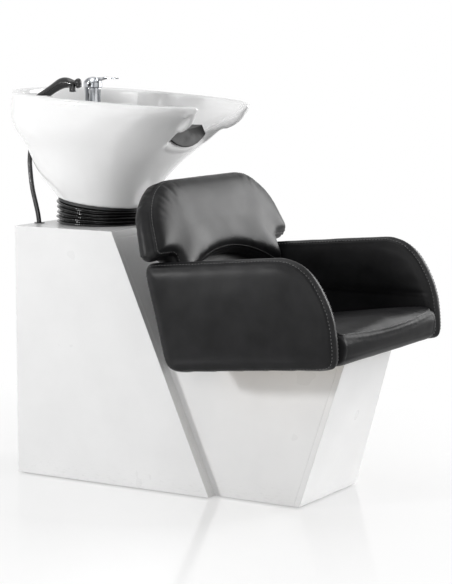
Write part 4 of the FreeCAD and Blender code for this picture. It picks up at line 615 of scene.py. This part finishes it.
def rounded_copy(name, nodes, finish, grain, reach, passes=10, after=0, lips=(), soft=None, swell=0.0):
    """The nodes' form as an even mesh whose sharp edges are rounded over about the reach."""
    form = node_form(nodes)
    sharp = []
    for edge in form.edges:
        if len(edge.link_faces) == 2 and edge.calc_face_angle() > SHARP_ANGLE:
            a, b = (v.co for v in edge.verts)
            steps = max(1, int((b - a).length / (reach * 0.4)))
            sharp += [a.lerp(b, i / steps) for i in range(steps + 1)]
    for line, radius in lips:
        lip = tube("lip", line, radius, None, 20)
        form.from_mesh(lip.data)
        bpy.data.objects.remove(lip)
        # Edges inside a lip no longer show
        sharp = [p for p in sharp if min((p - q).length for q in line[::4]) > radius * 0.9]
    surface_tree = BVHTree.FromBMesh(form)
    mesh = bpy.data.meshes.new(name)
    form.to_mesh(mesh)
    form.free()
    piece = put(name, mesh, finish)
    remesh = piece.modifiers.new("Remesh", "REMESH")
    remesh.mode = "VOXEL"
    remesh.voxel_size = grain
    bake(piece)
    mesh = piece.data
    points = relax(mesh, read_points(mesh), passes)
    on_form = np.array([surface_tree.find_nearest(p)[0] for p in points])
    if sharp:
        gaps = gaps_to(near_tree(sharp), points)
        share = soft_step(gaps, reach * 0.5, reach * 1.5)[:, None]
        on_form = points * (1 - share) + on_form * share
    if after:
        on_form = relax(mesh, on_form, after)
    if soft:
        share = np.array([soft(*p) for p in on_form])[:, None]
        for count in (MELT_PASSES, EVEN_PASSES):
            on_form = on_form * (1 - share) + relax(mesh, on_form, count) * share
    write_points(mesh, on_form)
    if swell:
        write_points(mesh, on_form + read_normals(mesh) * swell)
    finish_mesh(mesh, finish)
    return piece


def bevelled_copy(name, node, finish, width):
    """A flat-sided node with its edges eased."""
    form = node_form([node])
    bmesh.ops.dissolve_limit(form, angle_limit=0.01, verts=form.verts, edges=form.edges)
    mesh = bpy.data.meshes.new(name)
    form.to_mesh(mesh)
    form.free()
    piece = put(name, mesh, finish)
    bevel = piece.modifiers.new("Bevel", "BEVEL")
    bevel.width = width
    bevel.segments = 3
    bevel.limit_method = "ANGLE"
    bevel.angle_limit = 0.6
    bevel.harden_normals = True
    weighted = piece.modifiers.new("Normals", "WEIGHTED_NORMAL")
    weighted.keep_sharp = True
    bake(piece)
    return piece


def dress(node, finish):
    """Give a node that keeps its shape its material."""
    piece = frame["nodes"][node]
    if not piece.material_slots:
        piece.data.materials.append(material_of(finish))
    for slot in piece.material_slots:
        slot.link = "OBJECT"
        slot.material = material_of(finish)


# Lines
def rounded_outline(corners, radii, inset, step=0.003):
    """Points round a polygon with rounded corners, moved in by an inset."""
    count = len(corners)
    lines = []
    for i in range(count):
        (ax, ay), (bx, by) = corners[i], corners[(i + 1) % count]
        span = math.hypot(bx - ax, by - ay)
        ux, uy = (bx - ax) / span, (by - ay) / span
        lines.append((ax - uy * inset, ay + ux * inset, ux, uy))
    points = []
    for i in range(count):
        ax, ay, ux, uy = lines[i - 1]
        bx, by, vx, vy = lines[i]
        cross = ux * vy - uy * vx
        along = ((bx - ax) * vy - (by - ay) * vx) / cross
        turn = math.atan2(cross, ux * vx + uy * vy)
        corner = Vector((ax + ux * along, ay + uy * along))
        radius = max(radii[i] - math.copysign(inset, turn), 0.001)
        reach = radius * math.tan(abs(turn) / 2)
        start = corner - Vector((ux, uy)) * reach
        side = math.copysign(1, turn)
        centre = start + Vector((-uy, ux)) * radius * side
        steps = max(2, int(radius * abs(turn) / step))
        for k in range(steps + 1):
            angle = turn * k / steps
            arm = start - centre
            points.append(centre + Vector((
                arm.x * math.cos(angle) - arm.y * math.sin(angle),
                arm.x * math.sin(angle) + arm.y * math.cos(angle))))
    return points


def even_line(points, step, closed=False):
    """Points at even steps along a line."""
    points = [Vector(p) for p in points]
    if closed:
        points.append(points[0])
    reach = [0.0]
    for a, b in zip(points, points[1:]):
        reach.append(reach[-1] + (b - a).length)
    count = max(2, round(reach[-1] / step))
    array = np.array([tuple(p) for p in points])
    targets = np.linspace(0, reach[-1], count + 1)
    if closed:
        targets = targets[:-1]
    columns = [np.interp(targets, reach, array[:, axis]) for axis in range(3)]
    return [Vector(p) for p in zip(*columns)]


def smooth_line(name, points):
    """Points on the route's smooth line, read from a curve without a bevel."""
    curve = bpy.data.curves.new(name, "CURVE")
    curve.dimensions = "3D"
    curve.resolution_u = 16
    spline = curve.splines.new("NURBS")
    spline.points.add(len(points) - 1)
    for place, point in zip(spline.points, points):
        place.co = (*point, 1)
    spline.order_u = 3
    spline.use_endpoint_u = True
    holder = bpy.data.objects.new(name, curve)
    bpy.context.scene.collection.objects.link(holder)
    bpy.context.view_layer.update()
    mesh = bpy.data.meshes.new_from_object(holder)
    line = [v.co.copy() for v in mesh.vertices]
    bpy.data.objects.remove(holder)
    bpy.data.curves.remove(curve)
    bpy.data.meshes.remove(mesh)
    return line


def tube(name, line, radius, finish, sides=24):
    """A round tube along a line, with its ends closed."""
    points = []
    uvs = []
    tangent = (line[1] - line[0]).normalized()
    side = tangent.orthogonal().normalized()
    travelled = 0.0
    for i, place in enumerate(line):
        ahead = line[min(i + 1, len(line) - 1)]
        behind = line[max(i - 1, 0)]
        fresh = (ahead - behind).normalized()
        side = (side - fresh * side.dot(fresh)).normalized()
        up = fresh.cross(side)
        if i:
            travelled += (place - line[i - 1]).length
        points += round_points(place, side, up, radius, sides)
        uvs += [(radius * 2 * math.pi * k / sides, travelled) for k in range(sides)]
    mesh = mesh_from(name, points, ring_faces(len(line), sides))
    layer = mesh.uv_layers.new(name="Along")
    for loop in mesh.loops:
        layer.data[loop.index].uv = uvs[loop.vertex_index]
    return put(name, mesh, finish)


def hose(name, route, radius, finish, replaced, bodies, start, end, stiffness="medium"):
    """A hose as a tube along its route, which takes the place of its node."""
    line = smooth_line(name, route)
    piece = tube(name, line, radius, finish)
    span = sum((b - a).length for a, b in zip(line, line[1:]))
    if replaced:
        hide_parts(replaced)
    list(bodies)
    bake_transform(piece)
    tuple(start)
    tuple(end)
    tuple(line[0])
    return piece


def stitches(name, line, surface_tree, sizes, closed=False):
    """A row of stitches that lie on a surface along a line."""
    places = even_line(line, sizes.stitch_pitch, closed)
    points = []
    faces = []
    sides = 6
    rings = 5
    half = sizes.stitch_length / 2
    thick = sizes.thread / 2
    for i, place in enumerate(places):
        if closed:
            ahead = places[(i + 1) % len(places)]
            behind = places[i - 1]
        else:
            ahead = places[min(i + 1, len(places) - 1)]
            behind = places[max(i - 1, 0)]
        centre, up, _, _ = surface_tree.find_nearest(place)
        along = ahead - behind
        along = (along - up * along.dot(up)).normalized()
        across = up.cross(along)
        faces += ring_faces(rings, sides, len(points))
        for r in range(rings):
            # The ends are thinner and dip into the leather
            share = r / (rings - 1) * 2 - 1
            girth = thick * (1 - 0.65 * share ** 4)
            lift = thick * (0.55 - 1.5 * share ** 4)
            points += round_points(centre + along * half * share + up * lift, across, up, girth, sides)
    return put(name, mesh_from(name, points, faces), "thread")


# Upholstery
# Frames for which the cloth swells
CLOTH_FRAMES = 20
PRESSURE = 4.0


def inflate(piece, held, cap):
    """Swell a padded piece as cloth under pressure, with some points held, and no further than a cap."""
    rest = read_points(piece.data)
    group = piece.vertex_groups.new(name="held")
    for i in np.nonzero(held > 0)[0]:
        group.add([int(i)], float(held[i]), "REPLACE")
    cloth = piece.modifiers.new("Cloth", "CLOTH")
    settings = cloth.settings
    settings.quality = 4
    settings.mass = 0.35
    settings.tension_stiffness = 18
    settings.compression_stiffness = 12
    settings.shear_stiffness = 6
    settings.bending_stiffness = 1.5
    settings.use_pressure = True
    settings.uniform_pressure_force = PRESSURE
    settings.effector_weights.gravity = 0
    settings.vertex_group_mass = group.name
    cloth.collision_settings.use_collision = False
    scene = bpy.context.scene
    for step in range(1, CLOTH_FRAMES + 1):
        scene.frame_set(step)
    depsgraph = bpy.context.evaluated_depsgraph_get()
    swollen = read_points(piece.evaluated_get(depsgraph).data)
    scene.frame_set(1)
    piece.modifiers.clear()
    piece.vertex_groups.clear()
    moved = swollen - rest
    far = np.linalg.norm(moved, axis=1)[:, None]
    far[far == 0] = 1
    write_points(piece.data, rest + moved * np.minimum(1, cap / far))


# A cushion's edges are rounded over this reach, in so many passes
EDGE_REACH, EDGE_PASSES = 0.008, 6
# The leather is fixed up to the first distance from a seam and free from the second
SEWN, FREE = 0.004, 0.012
# Gathers beside the seams and slack waves elsewhere: height, and waves per metre
GATHER_HEIGHT, GATHER_RATE, GATHER_REACH = 0.0004, 95, 0.016
SLACK_HEIGHT, SLACK_RATE, SLACK_SHIFT = 0.0008, 17, Vector((3, 1, 7))


def padded_piece(name, node, seams, held, sizes, roll, plump, finish="black_leatherette", after=5,
                 shape=None):
    """A stuffed piece over its node's form: swollen between its seams, which pull the leather in."""
    piece = rounded_copy(name, [node], finish, sizes.cushion_grain, EDGE_REACH, EDGE_PASSES, after)
    mesh = piece.data
    points = read_points(mesh)
    if shape:
        points = shape(points)
        write_points(mesh, points)
    normals = read_normals(mesh)
    cap = sizes.cushion_swell
    seam_tree = near_tree([p for seam in seams for p in seam])
    fixed = np.array([1.0 if held(*p) else 0.0 for p in points])
    sewn = 1 - soft_step(gaps_to(seam_tree, points), SEWN, FREE)
    hold = np.maximum(fixed, sewn)
    # Starts a little slack, so that the air fills it to its own size
    write_points(mesh, points - normals * (0.5 * cap * (1 - hold))[:, None])
    inflate(piece, hold, cap)
    finer = piece.modifiers.new("Subdivision", "SUBSURF")
    finer.levels = 1
    finer.render_levels = 1
    bake(piece)
    mesh = piece.data
    points = read_points(mesh)
    normals = read_normals(mesh)
    gaps = gaps_to(seam_tree, points)
    # The filling rolls off towards each seam, and the seam itself is drawn in deeper
    depth, width = roll
    groove = depth * np.exp(-(gaps / width) ** 2)
    groove += sizes.seam_depth * np.exp(-(gaps / sizes.seam_width) ** 2)
    gather = np.array([noise.noise(Vector(p) * GATHER_RATE) for p in points])
    gather *= GATHER_HEIGHT * np.exp(-(gaps / GATHER_REACH) ** 2)
    slack = np.array([noise.noise(Vector(p) * SLACK_RATE + SLACK_SHIFT) for p in points]) * SLACK_HEIGHT
    full = plump * np.array([0.0 if held(*p) else 1.0 for p in points])
    write_points(mesh, points - normals * (groove - gather - slack - full)[:, None])
    finish_mesh(mesh, finish)
    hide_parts(node)
    skin = BVHTree.FromPolygons(
        [Vector(p) for p in read_points(mesh)], [tuple(f.vertices) for f in mesh.polygons])
    return piece, skin


# Side view of an arm, and where its two seams lie across
ARM_CORNERS = [(-0.172, 0.579), (-0.596, 0.619), (-0.676, 0.502), (-0.687, 0.370), (-0.238, 0.326)]
ARM_RADII = [0.024, 0.115, 0.225, 0.030, 0.042]
ARM_SEAMS = (0.254, 0.299)
# Front view of the backrest along its lean, from the foot of its arch
BACK_CORNERS = [
    (0.272, 0.182), (-0.272, 0.182), (-0.320, -0.004), (-0.242, -0.004), (-0.242, -0.093),
    (0, 0.067), (0.242, -0.093), (0.242, -0.004), (0.320, -0.004),
]
BACK_RADII = [0.150, 0.150, 0.016, 0.008, 0.012, 0.398, 0.012, 0.008, 0.016]
BACK_LEAN = math.radians(22.4)
BACK_FOOT = Vector((0, -0.232, 0.609))


def back_place(x, rise, depth):
    """A point of the backrest: across, up along its lean, and back from its front."""
    return BACK_FOOT + Vector((
        x,
        rise * math.sin(BACK_LEAN) + depth * math.cos(BACK_LEAN),
        rise * math.cos(BACK_LEAN) - depth * math.sin(BACK_LEAN)))


# The photograph's camera, found from the edges of the cabinet
CAMERA_PLACE = (-4.2344, -2.7519, 1.1391)
CAMERA_AZIMUTH = math.radians(-59.21)
CAMERA_ELEVATION = math.radians(7.56)
LENS_MM = 122.97
SENSOR_MM = 36

# Name, place, aim, width and watts of each lamp
LAMPS = [
    ("left_softbox", (-2.62, 1.57, 1.35), (0, 0, 0.42), 0.35, 44),
    ("side_softbox", (-2.75, -0.72, 1.25), (0, -0.2, 0.5), 1.2, 12),
    ("right_softbox", (2.55, -1.57, 1.47), (0, -0.1, 0.62), 1.9, 82),
    ("front_softbox", (-0.8, -3.4, 1.6), (0, -0.1, 0.5), 1.6, 5),
    ("top_softbox", (0, 0, 3.5), (0, 0, 0.5), 2.0, 22),
]
FLOOR_HALF = 9


# Operators
class WASHING_BED_OT_stage(bpy.types.Operator):
    """Camera, floor, lamps and background"""

    bl_idname = "washing_bed.stage"
    bl_label = "Stage"

    def execute(self, context):
        scene = context.scene
        scene.view_settings.view_transform = "Standard"
        camera = bpy.data.cameras.new("camera")
        camera.sensor_width = SENSOR_MM
        camera.lens = LENS_MM
        camera.clip_end = 60
        holder = bpy.data.objects.new("camera", camera)
        holder.location = CAMERA_PLACE
        look = Vector((
            -math.sin(CAMERA_AZIMUTH) * math.cos(CAMERA_ELEVATION),
            math.cos(CAMERA_AZIMUTH) * math.cos(CAMERA_ELEVATION),
            -math.sin(CAMERA_ELEVATION)))
        holder.rotation_euler = look.to_track_quat("-Z", "Y").to_euler()
        scene.collection.objects.link(holder)
        scene.camera = holder
        world = bpy.data.worlds.new("studio")
        scene.world = world
        world.use_nodes = True
        nodes = Nodes(world.node_tree)
        nodes.tree.nodes.clear()
        fill = nodes.shader("ShaderNodeBackground", "#FFFFFF", Strength=0.27)
        white = nodes.shader("ShaderNodeBackground", "#FFFFFF", Strength=1.0)
        nodes.add("ShaderNodeOutputWorld", None, {"Surface": nodes.by_ray(white, fill)})
        corners = [(x * FLOOR_HALF, y * FLOOR_HALF, 0) for x, y in ((-1, -1), (1, -1), (1, 1), (-1, 1))]
        floor = mesh_from("studio_floor", corners, [(0, 1, 2, 3)])
        floor.materials.append(studio_floor())
        sheet = put("studio_floor", floor, None, smooth=False)
        for name, place, aim, width, power in LAMPS:
            light = bpy.data.lights.new(name, "AREA")
            light.shape = "SQUARE"
            light.size = width
            light.energy = power
            lamp = bpy.data.objects.new(name, light)
            lamp.location = place
            lamp.rotation_euler = (Vector(aim) - Vector(place)).to_track_quat("-Z", "Y").to_euler()
            lamp.visible_camera = False
            scene.collection.objects.link(lamp)
        return {"FINISHED"}


# Radii of the hoses
SHOWER_HOSE = 0.006
SUPPLY_HOSE = 0.005
WASTE_HOSE = 0.021


class WASHING_BED_OT_hoses(bpy.types.Operator):
    """Shower hose, supply hoses and waste hose"""

    bl_idname = "washing_bed.hoses"
    bl_label = "Hoses"

    def execute(self, context):
        tilt = ("base", "basin_body")
        outside = millimetres(
            (-80, 308, 832), (-80.64, 312.49, 805.4), (-84, 307, 765), (-88, 299, 727), (-90, 287, 690),
            (-91, 276.5, 652), (-91, 275.5, 605), (-91, 273.5, 575), (-91, 273.5, 545))
        inside = millimetres(
            (-91, 273.5, 545), (-91, 273.5, 510), (-99, 271, 455), (-122, 266, 405), (-140, 262, 350),
            (-99, 242, 304.5), (-41, 215, 304.5), (0, 195, 350), (5, 191, 415), (4, 189, 485),
            (1, 188, 550), (0, 187, 610), (2, 188, 660), (13, 193, 705), (24, 196, 750), (40, 198, 795),
            (55, 199, 843), (55, 199, 893))
        pulled = millimetres(
            (-78, 294, 915), (-78.6, 298.2, 890), (-79.3, 303, 861.5), (-80, 308, 832))
        hot = millimetres(
            (-45, 236, 165), (-45, 236, 215), (-48, 238, 285), (-44, 229, 350), (-34, 208, 420),
            (-26, 194, 492), (-22, 186, 560), (-22, 184, 620), (-18, 188, 675), (-4, 195, 722),
            (16, 203, 765), (36, 208, 806), (49, 210, 850), (49, 210, 893))
        cold = millimetres(
            (45, 236, 165), (45, 236, 215), (43, 231, 285), (37, 218, 355), (30, 204, 425),
            (25, 193, 495), (22, 186, 560), (22, 183, 620), (22, 185, 675), (30, 193, 722),
            (46, 202, 765), (60, 209, 808), (61, 210, 852), (61, 210, 893))
        drain = millimetres(
            (0, 112, 640), (0, 112, 588), (5, 119, 528), (5, 119, 448), (0, 112, 388), (0, 112, 330))
        hose("shower_hose_outside", outside, SHOWER_HOSE, "hose_cover", "shower_hose", tilt,
             (-0.091, 0.2755, 0.600), (-0.081, 0.308, 0.800))
        hose("shower_hose_inside", inside, SHOWER_HOSE, "hose_cover", "shower_hose_loop", tilt,
             (0.005, 0.191, 0.450), (0.055, 0.199, 0.880))
        hose("shower_hose_pulled", pulled, SHOWER_HOSE, "hose_cover", "shower_hose_upper",
             ("basin_body", "handset_body"), pulled[-1], pulled[0])
        hose("hot_supply_hose", hot, SUPPLY_HOSE, "braided_hose", "supply_hoses", tilt, hot[0], hot[-1])
        hose("cold_supply_hose", cold, SUPPLY_HOSE, "braided_hose", None, tilt, cold[0], cold[-1])
        hose("waste_hose_cover", drain, WASTE_HOSE, "grey_plastic", "waste_hose", tilt,
             drain[-1], drain[0], "stiff")
        return {"FINISHED"}


class WASHING_BED_OT_cabinet(bpy.types.Operator):
    """Lacquered cabinet and pedestal boards"""

    bl_idname = "washing_bed.cabinet"
    bl_label = "Cabinet and pedestal"

    def execute(self, context):
        width = context.scene.washing_bed_sizes.board_edge
        boards = [
            "cabinet_side_left", "cabinet_side_right", "cabinet_front", "cabinet_top",
            "pedestal_front", "pedestal_side_left", "pedestal_side_right", "pedestal_top",
        ]
        for board in boards + ["access_panel"]:
            piece = bevelled_copy(f"{board}_lacquered", board, "white_lacquer", width)
            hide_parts(board)
            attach(piece, "panel_body" if board == "access_panel" else "base")
        return {"FINISHED"}


class WASHING_BED_OT_arms(bpy.types.Operator):
    """Padded arms with a crowned band between two stitched seams"""

    bl_idname = "washing_bed.arms"
    bl_label = "Arms"

    def execute(self, context):
        sizes = context.scene.washing_bed_sizes
        # Each arm is screwed to its board over this side and up to this height
        board_side, board_top = 0.2515, 0.475
        # The stitches run this far inside the band
        stitch_inset = 0.005
        for side, sign in (("left", 1), ("right", -1)):
            ring = rounded_outline(ARM_CORNERS, ARM_RADII, 0)
            seams = [[Vector((sign * x, p.x, p.y)) for p in ring] for x in ARM_SEAMS]
            seams = [even_line(seam, 0.002, True) for seam in seams]

            def held(x, y, z):
                return abs(x) < board_side and z < board_top

            piece, tree = padded_piece(
                f"arm_{side}", f"arm_pad_{side}", seams, held, sizes, roll=(0.0055, 0.018), plump=0.0015)
            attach(piece, "base")
            for name, x in (("inner", ARM_SEAMS[0] + stitch_inset), ("outer", ARM_SEAMS[1] - stitch_inset)):
                line = [Vector((sign * x, p.x, p.y)) for p in ring]
                row = stitches(f"arm_{side}_{name}_stitches", line, tree, sizes, closed=True)
                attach(row, "base")
        return {"FINISHED"}


class WASHING_BED_OT_backrest(bpy.types.Operator):
    """Reclined backrest with ears, an arched lower edge and a stitched front seam"""

    bl_idname = "washing_bed.backrest"
    bl_label = "Backrest"

    def execute(self, context):
        sizes = context.scene.washing_bed_sizes
        ring = rounded_outline(BACK_CORNERS, BACK_RADII, 0)
        # The seam lies behind the front's rounded edge, and its stitches inside the outline
        seam_depth, stitch_inset, stitch_depth = 0.006, 0.005, 0.001
        front = even_line([back_place(p.x, p.y, seam_depth) for p in ring], 0.002, True)
        # The arms clamp the backrest below this height and beyond this side
        clamp_top, clamp_side = 0.60, 0.236

        def held(x, y, z):
            return z < clamp_top and abs(x) > clamp_side

        piece, tree = padded_piece(
            "backrest", "backrest_cushion", [front], held, sizes, roll=(0.007, 0.016), plump=0.0045)
        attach(piece, "base")
        inner = rounded_outline(BACK_CORNERS, BACK_RADII, stitch_inset)
        line = [back_place(p.x, p.y, stitch_depth) for p in inner]
        row = stitches("backrest_front_stitches", line, tree, sizes, closed=True)
        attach(row, "base")
        return {"FINISHED"}


class WASHING_BED_OT_seat(bpy.types.Operator):
    """Crowned seat with a rolled front under a stitched seam"""

    bl_idname = "washing_bed.seat"
    bl_label = "Seat"

    def execute(self, context):
        sizes = context.scene.washing_bed_sizes
        form = node_form(["seat_cushion"])
        tree = BVHTree.FromBMesh(form)
        form.free()
        # The front seam sags between its ends, this far up the roll
        half, height, sag = 0.247, 0.445, 0.0145
        seam = []
        for i in range(-100, 101):
            x = half * i / 100
            z = height - sag * (1 - (x / half) ** 2)
            seam.append(tree.ray_cast(Vector((x, -1, z)), Vector((0, 1, 0)))[0])
        seam = even_line(seam, 0.002)
        # The sides are held by the arms and the underside by its board, which rises to the front
        held_side, board_height, board_rise, board_back = 0.240, 0.34, 0.1, 0.255

        def held(x, y, z):
            return abs(x) > held_side or z < board_height + board_rise * (-y - board_back)

        def shape(points):
            # The nose spreads until it presses against both arms
            near = soft_step(-points[:, 1], 0.600, 0.672) * soft_step(np.abs(points[:, 0]), 0.190, 0.246)
            points = points.copy()
            points[:, 0] *= 1 + 0.055 * near
            return points

        piece, tree = padded_piece(
            "seat", "seat_cushion", [seam], held, sizes, roll=(0.0015, 0.010), plump=0.001,
            finish="seat_leatherette", after=16, shape=shape)
        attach(piece, "base")
        row = stitches("seat_front_stitches", [p + Vector((0, 0, 0.005)) for p in seam[4:-4]], tree, sizes)
        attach(row, "base")
        return {"FINISHED"}


class WASHING_BED_OT_basin(bpy.types.Operator):
    """Glazed basin, neck rest, waste and strainer"""

    bl_idname = "washing_bed.basin"
    bl_label = "Basin"

    def execute(self, context):
        sizes = context.scene.washing_bed_sizes
        # Each horn ends in a thick rolled lip that runs down beside the neck rest
        lip_radius, tip_radius = 0.0095, 0.0115
        form = node_form(["basin"])
        tree = BVHTree.FromBMesh(form)
        form.free()
        lips = []
        for side in (-1, 1):
            route = [
                (0.089, -0.094, 0.862), (0.0945, -0.113, 0.870), (0.1045, -0.150, 0.891),
                (0.109, -0.170, 0.902), (0.1135, -0.190, 0.915), (0.117, -0.205, 0.929),
            ]
            # On along the rim, this far behind its front
            for x, inside in ((0.124, 0.0100), (0.138, 0.0106), (0.158, 0.0118), (0.180, 0.0150)):
                front = tree.ray_cast(Vector((x, -0.5, 0.938)), Vector((0, 1, 0)))[0].y
                route.append((x, front + inside, 0.972 + 0.068 * (front - 0.095) - inside))
            line = smooth_line("lip_route", [(side * x, y, z) for x, y, z in route])
            lips.append((line, lip_radius))
            # The tip is thicker still
            tip = [(0.106, -0.158, 0.8935), (0.111, -0.175, 0.900), (0.116, -0.193, 0.912)]
            tip += [(x + 0.001, y + 0.003, z - 0.0035) for x, y, z in route[-4:-2]]
            tip.append((0.146, -0.192, 0.928))
            line = smooth_line("lip_route", [(side * x, y, z) for x, y, z in tip])
            lips.append((line, tip_radius))

        # The corner below the neck rest is melted
        def soft(x, y, z):
            inside = 1 - soft_step(np.array(abs(x)), 0.078, 0.100)
            ahead = soft_step(np.array(-y), 0.088, 0.104)
            below = 1 - soft_step(np.array(z), 0.872, 0.886)
            return float(inside * ahead * below)

        glazed = rounded_copy(
            "basin_glazed", ["basin"], "glazed_ceramic", sizes.glaze_grain, reach=0.007, passes=12, after=4,
            lips=lips, soft=soft)
        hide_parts("basin")
        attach(glazed, "basin_body")
        rest = rounded_copy(
            "neck_rest_pad", ["neck_rest"], "grey_rubber", grain=0.0012, reach=0.002, passes=4)
        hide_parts("neck_rest")
        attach(rest, "basin_body")
        dress("waste_flange", "stainless_steel")
        dress("strainer", "stainless_steel")
        return {"FINISHED"}


class WASHING_BED_OT_bellows(bpy.types.Operator):
    """Ribbed rubber boot under the basin"""

    bl_idname = "washing_bed.bellows"
    bl_label = "Bellows"

    def execute(self, context):
        sizes = context.scene.washing_bed_sizes
        low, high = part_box("bellows")
        centre = Vector((0, 0.1425, 0))
        # The boot's upper end slopes with the basin's foot
        slope = 0.128
        end_radius = 0.109
        top = high.z - slope * end_radius
        valley_radius = 0.1088
        wall = 0.003
        ribs = 5
        steps = ribs * 12
        turn = 144
        # How far the folds bulge, and what share of the height they wander
        bulge_reach, wander_share = 0.0030, 0.075
        profile = []
        for i in range(steps + 1):
            share = i / steps
            swell = math.sin(math.pi * share * ribs) ** 2
            profile.append((share, valley_radius + sizes.rib_swell * swell ** 0.75))
        inner = [(share, radius - wall) for share, radius in reversed(profile)]
        points = []
        faces = []
        loop = profile + inner
        for share, radius in loop:
            free = math.sin(math.pi * share)
            for k in range(turn):
                angle = 2 * math.pi * k / turn
                spot = Vector((1.4 * math.cos(angle), 1.4 * math.sin(angle), 3.0 * share))
                bulge = bulge_reach * free * noise.noise(spot * 1.6)
                wander = wander_share * free * noise.noise(spot + Vector((5, 2, 0)))
                x = (radius + bulge) * math.cos(angle)
                y = (radius + bulge) * math.sin(angle)
                z = low.z + (top - low.z) * (share + wander) + slope * share * y
                points.append(centre + Vector((x, y, z)))
        for i in range(len(loop)):
            for k in range(turn):
                a = i * turn + k
                b = i * turn + (k + 1) % turn
                c = ((i + 1) % len(loop)) * turn
                faces.append((a, b, c + (k + 1) % turn, c + k))
        boot = put("bellows_boot", mesh_from("bellows_boot", points, faces), "black_rubber")
        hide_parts("bellows")
        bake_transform(boot)
        return {"FINISHED"}


class WASHING_BED_OT_taps(bpy.types.Operator):
    """Mixer tap, lever and hand shower"""

    bl_idname = "washing_bed.taps"
    bl_label = "Taps"

    def execute(self, context):
        # Piece, node, finish, mesh size, rounding and body
        parts = [
            ("mixer_foot", "mixer_body", "chromed_brass", 0.0011, 0.0018, "basin_body"),
            ("mixer_turning_cap", "mixer_cap", "chromed_brass", 0.0010, 0.0016, "mixer_cap_body"),
            ("mixer_handle", "mixer_lever", "chromed_brass", 0.0009, 0.0016, "mixer_lever_body"),
            ("hand_shower", "handset", "black_gloss_plastic", 0.0013, 0.0020, "handset_body"),
            ("hand_shower_nozzle", "handset_nozzle", "black_gloss_plastic", 0.0009, 0.0012, "handset_body"),
            ("hand_shower_socket", "handset_socket", "black_gloss_plastic", 0.0013, 0.0016, "basin_body"),
        ]
        for name, node, finish, grain, reach, body in parts:
            # The hand shower's grip is a little fuller than its node
            swell = 0.0014 if node == "handset" else 0.0
            piece = rounded_copy(name, [node], finish, grain, reach, passes=5, swell=swell)
            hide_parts(node)
            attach(piece, body)
        return {"FINISHED"}


class WASHING_BED_OT_frame(bpy.types.Operator):
    """Finishes of the frame, boards, fasteners and fittings that keep their shape"""

    bl_idname = "washing_bed.frame"
    bl_label = "Frame and fittings"

    def execute(self, context):
        for row in frame["record"]["subparts"]:
            piece = frame["nodes"][row["node"]]
            if not piece.hide_render:
                dress(row["node"], row["material_slot"])
        return {"FINISHED"}


class WASHING_BED_PT_panel(bpy.types.Panel):
    """Steps that dress the washing bed"""

    bl_idname = "WASHING_BED_PT_panel"
    bl_label = "Washing bed"
    bl_space_type = "VIEW_3D"
    bl_region_type = "UI"
    bl_category = "Washing bed"

    def draw(self, context):
        for operator in OPERATORS:
            self.layout.operator(operator.bl_idname)
        for group in (context.scene.washing_bed_sizes, context.scene.washing_bed_colours):
            box = self.layout.box()
            for name in group.__annotations__:
                box.prop(group, name)


OPERATORS = [
    WASHING_BED_OT_stage,
    WASHING_BED_OT_hoses,
    WASHING_BED_OT_cabinet,
    WASHING_BED_OT_arms,
    WASHING_BED_OT_backrest,
    WASHING_BED_OT_seat,
    WASHING_BED_OT_basin,
    WASHING_BED_OT_bellows,
    WASHING_BED_OT_taps,
    WASHING_BED_OT_frame,
]
CLASSES = [WashingBedSizes, WashingBedColours, *OPERATORS, WASHING_BED_PT_panel]


def register():
    """Register the classes and the scene's settings."""
    for item in CLASSES:
        bpy.utils.register_class(item)
    bpy.types.Scene.washing_bed_sizes = bpy.props.PointerProperty(type=WashingBedSizes)
    bpy.types.Scene.washing_bed_colours = bpy.props.PointerProperty(type=WashingBedColours)


def unregister():
    """Take the settings and the classes away again."""
    del bpy.types.Scene.washing_bed_colours
    del bpy.types.Scene.washing_bed_sizes
    for item in reversed(CLASSES):
        bpy.utils.unregister_class(item)


def main():
    """Dress the object."""
    register()
    for operator in OPERATORS:
        group, name = operator.bl_idname.split(".")
        getattr(getattr(bpy.ops, group), name)()


if __name__ == "__main__":
    main()
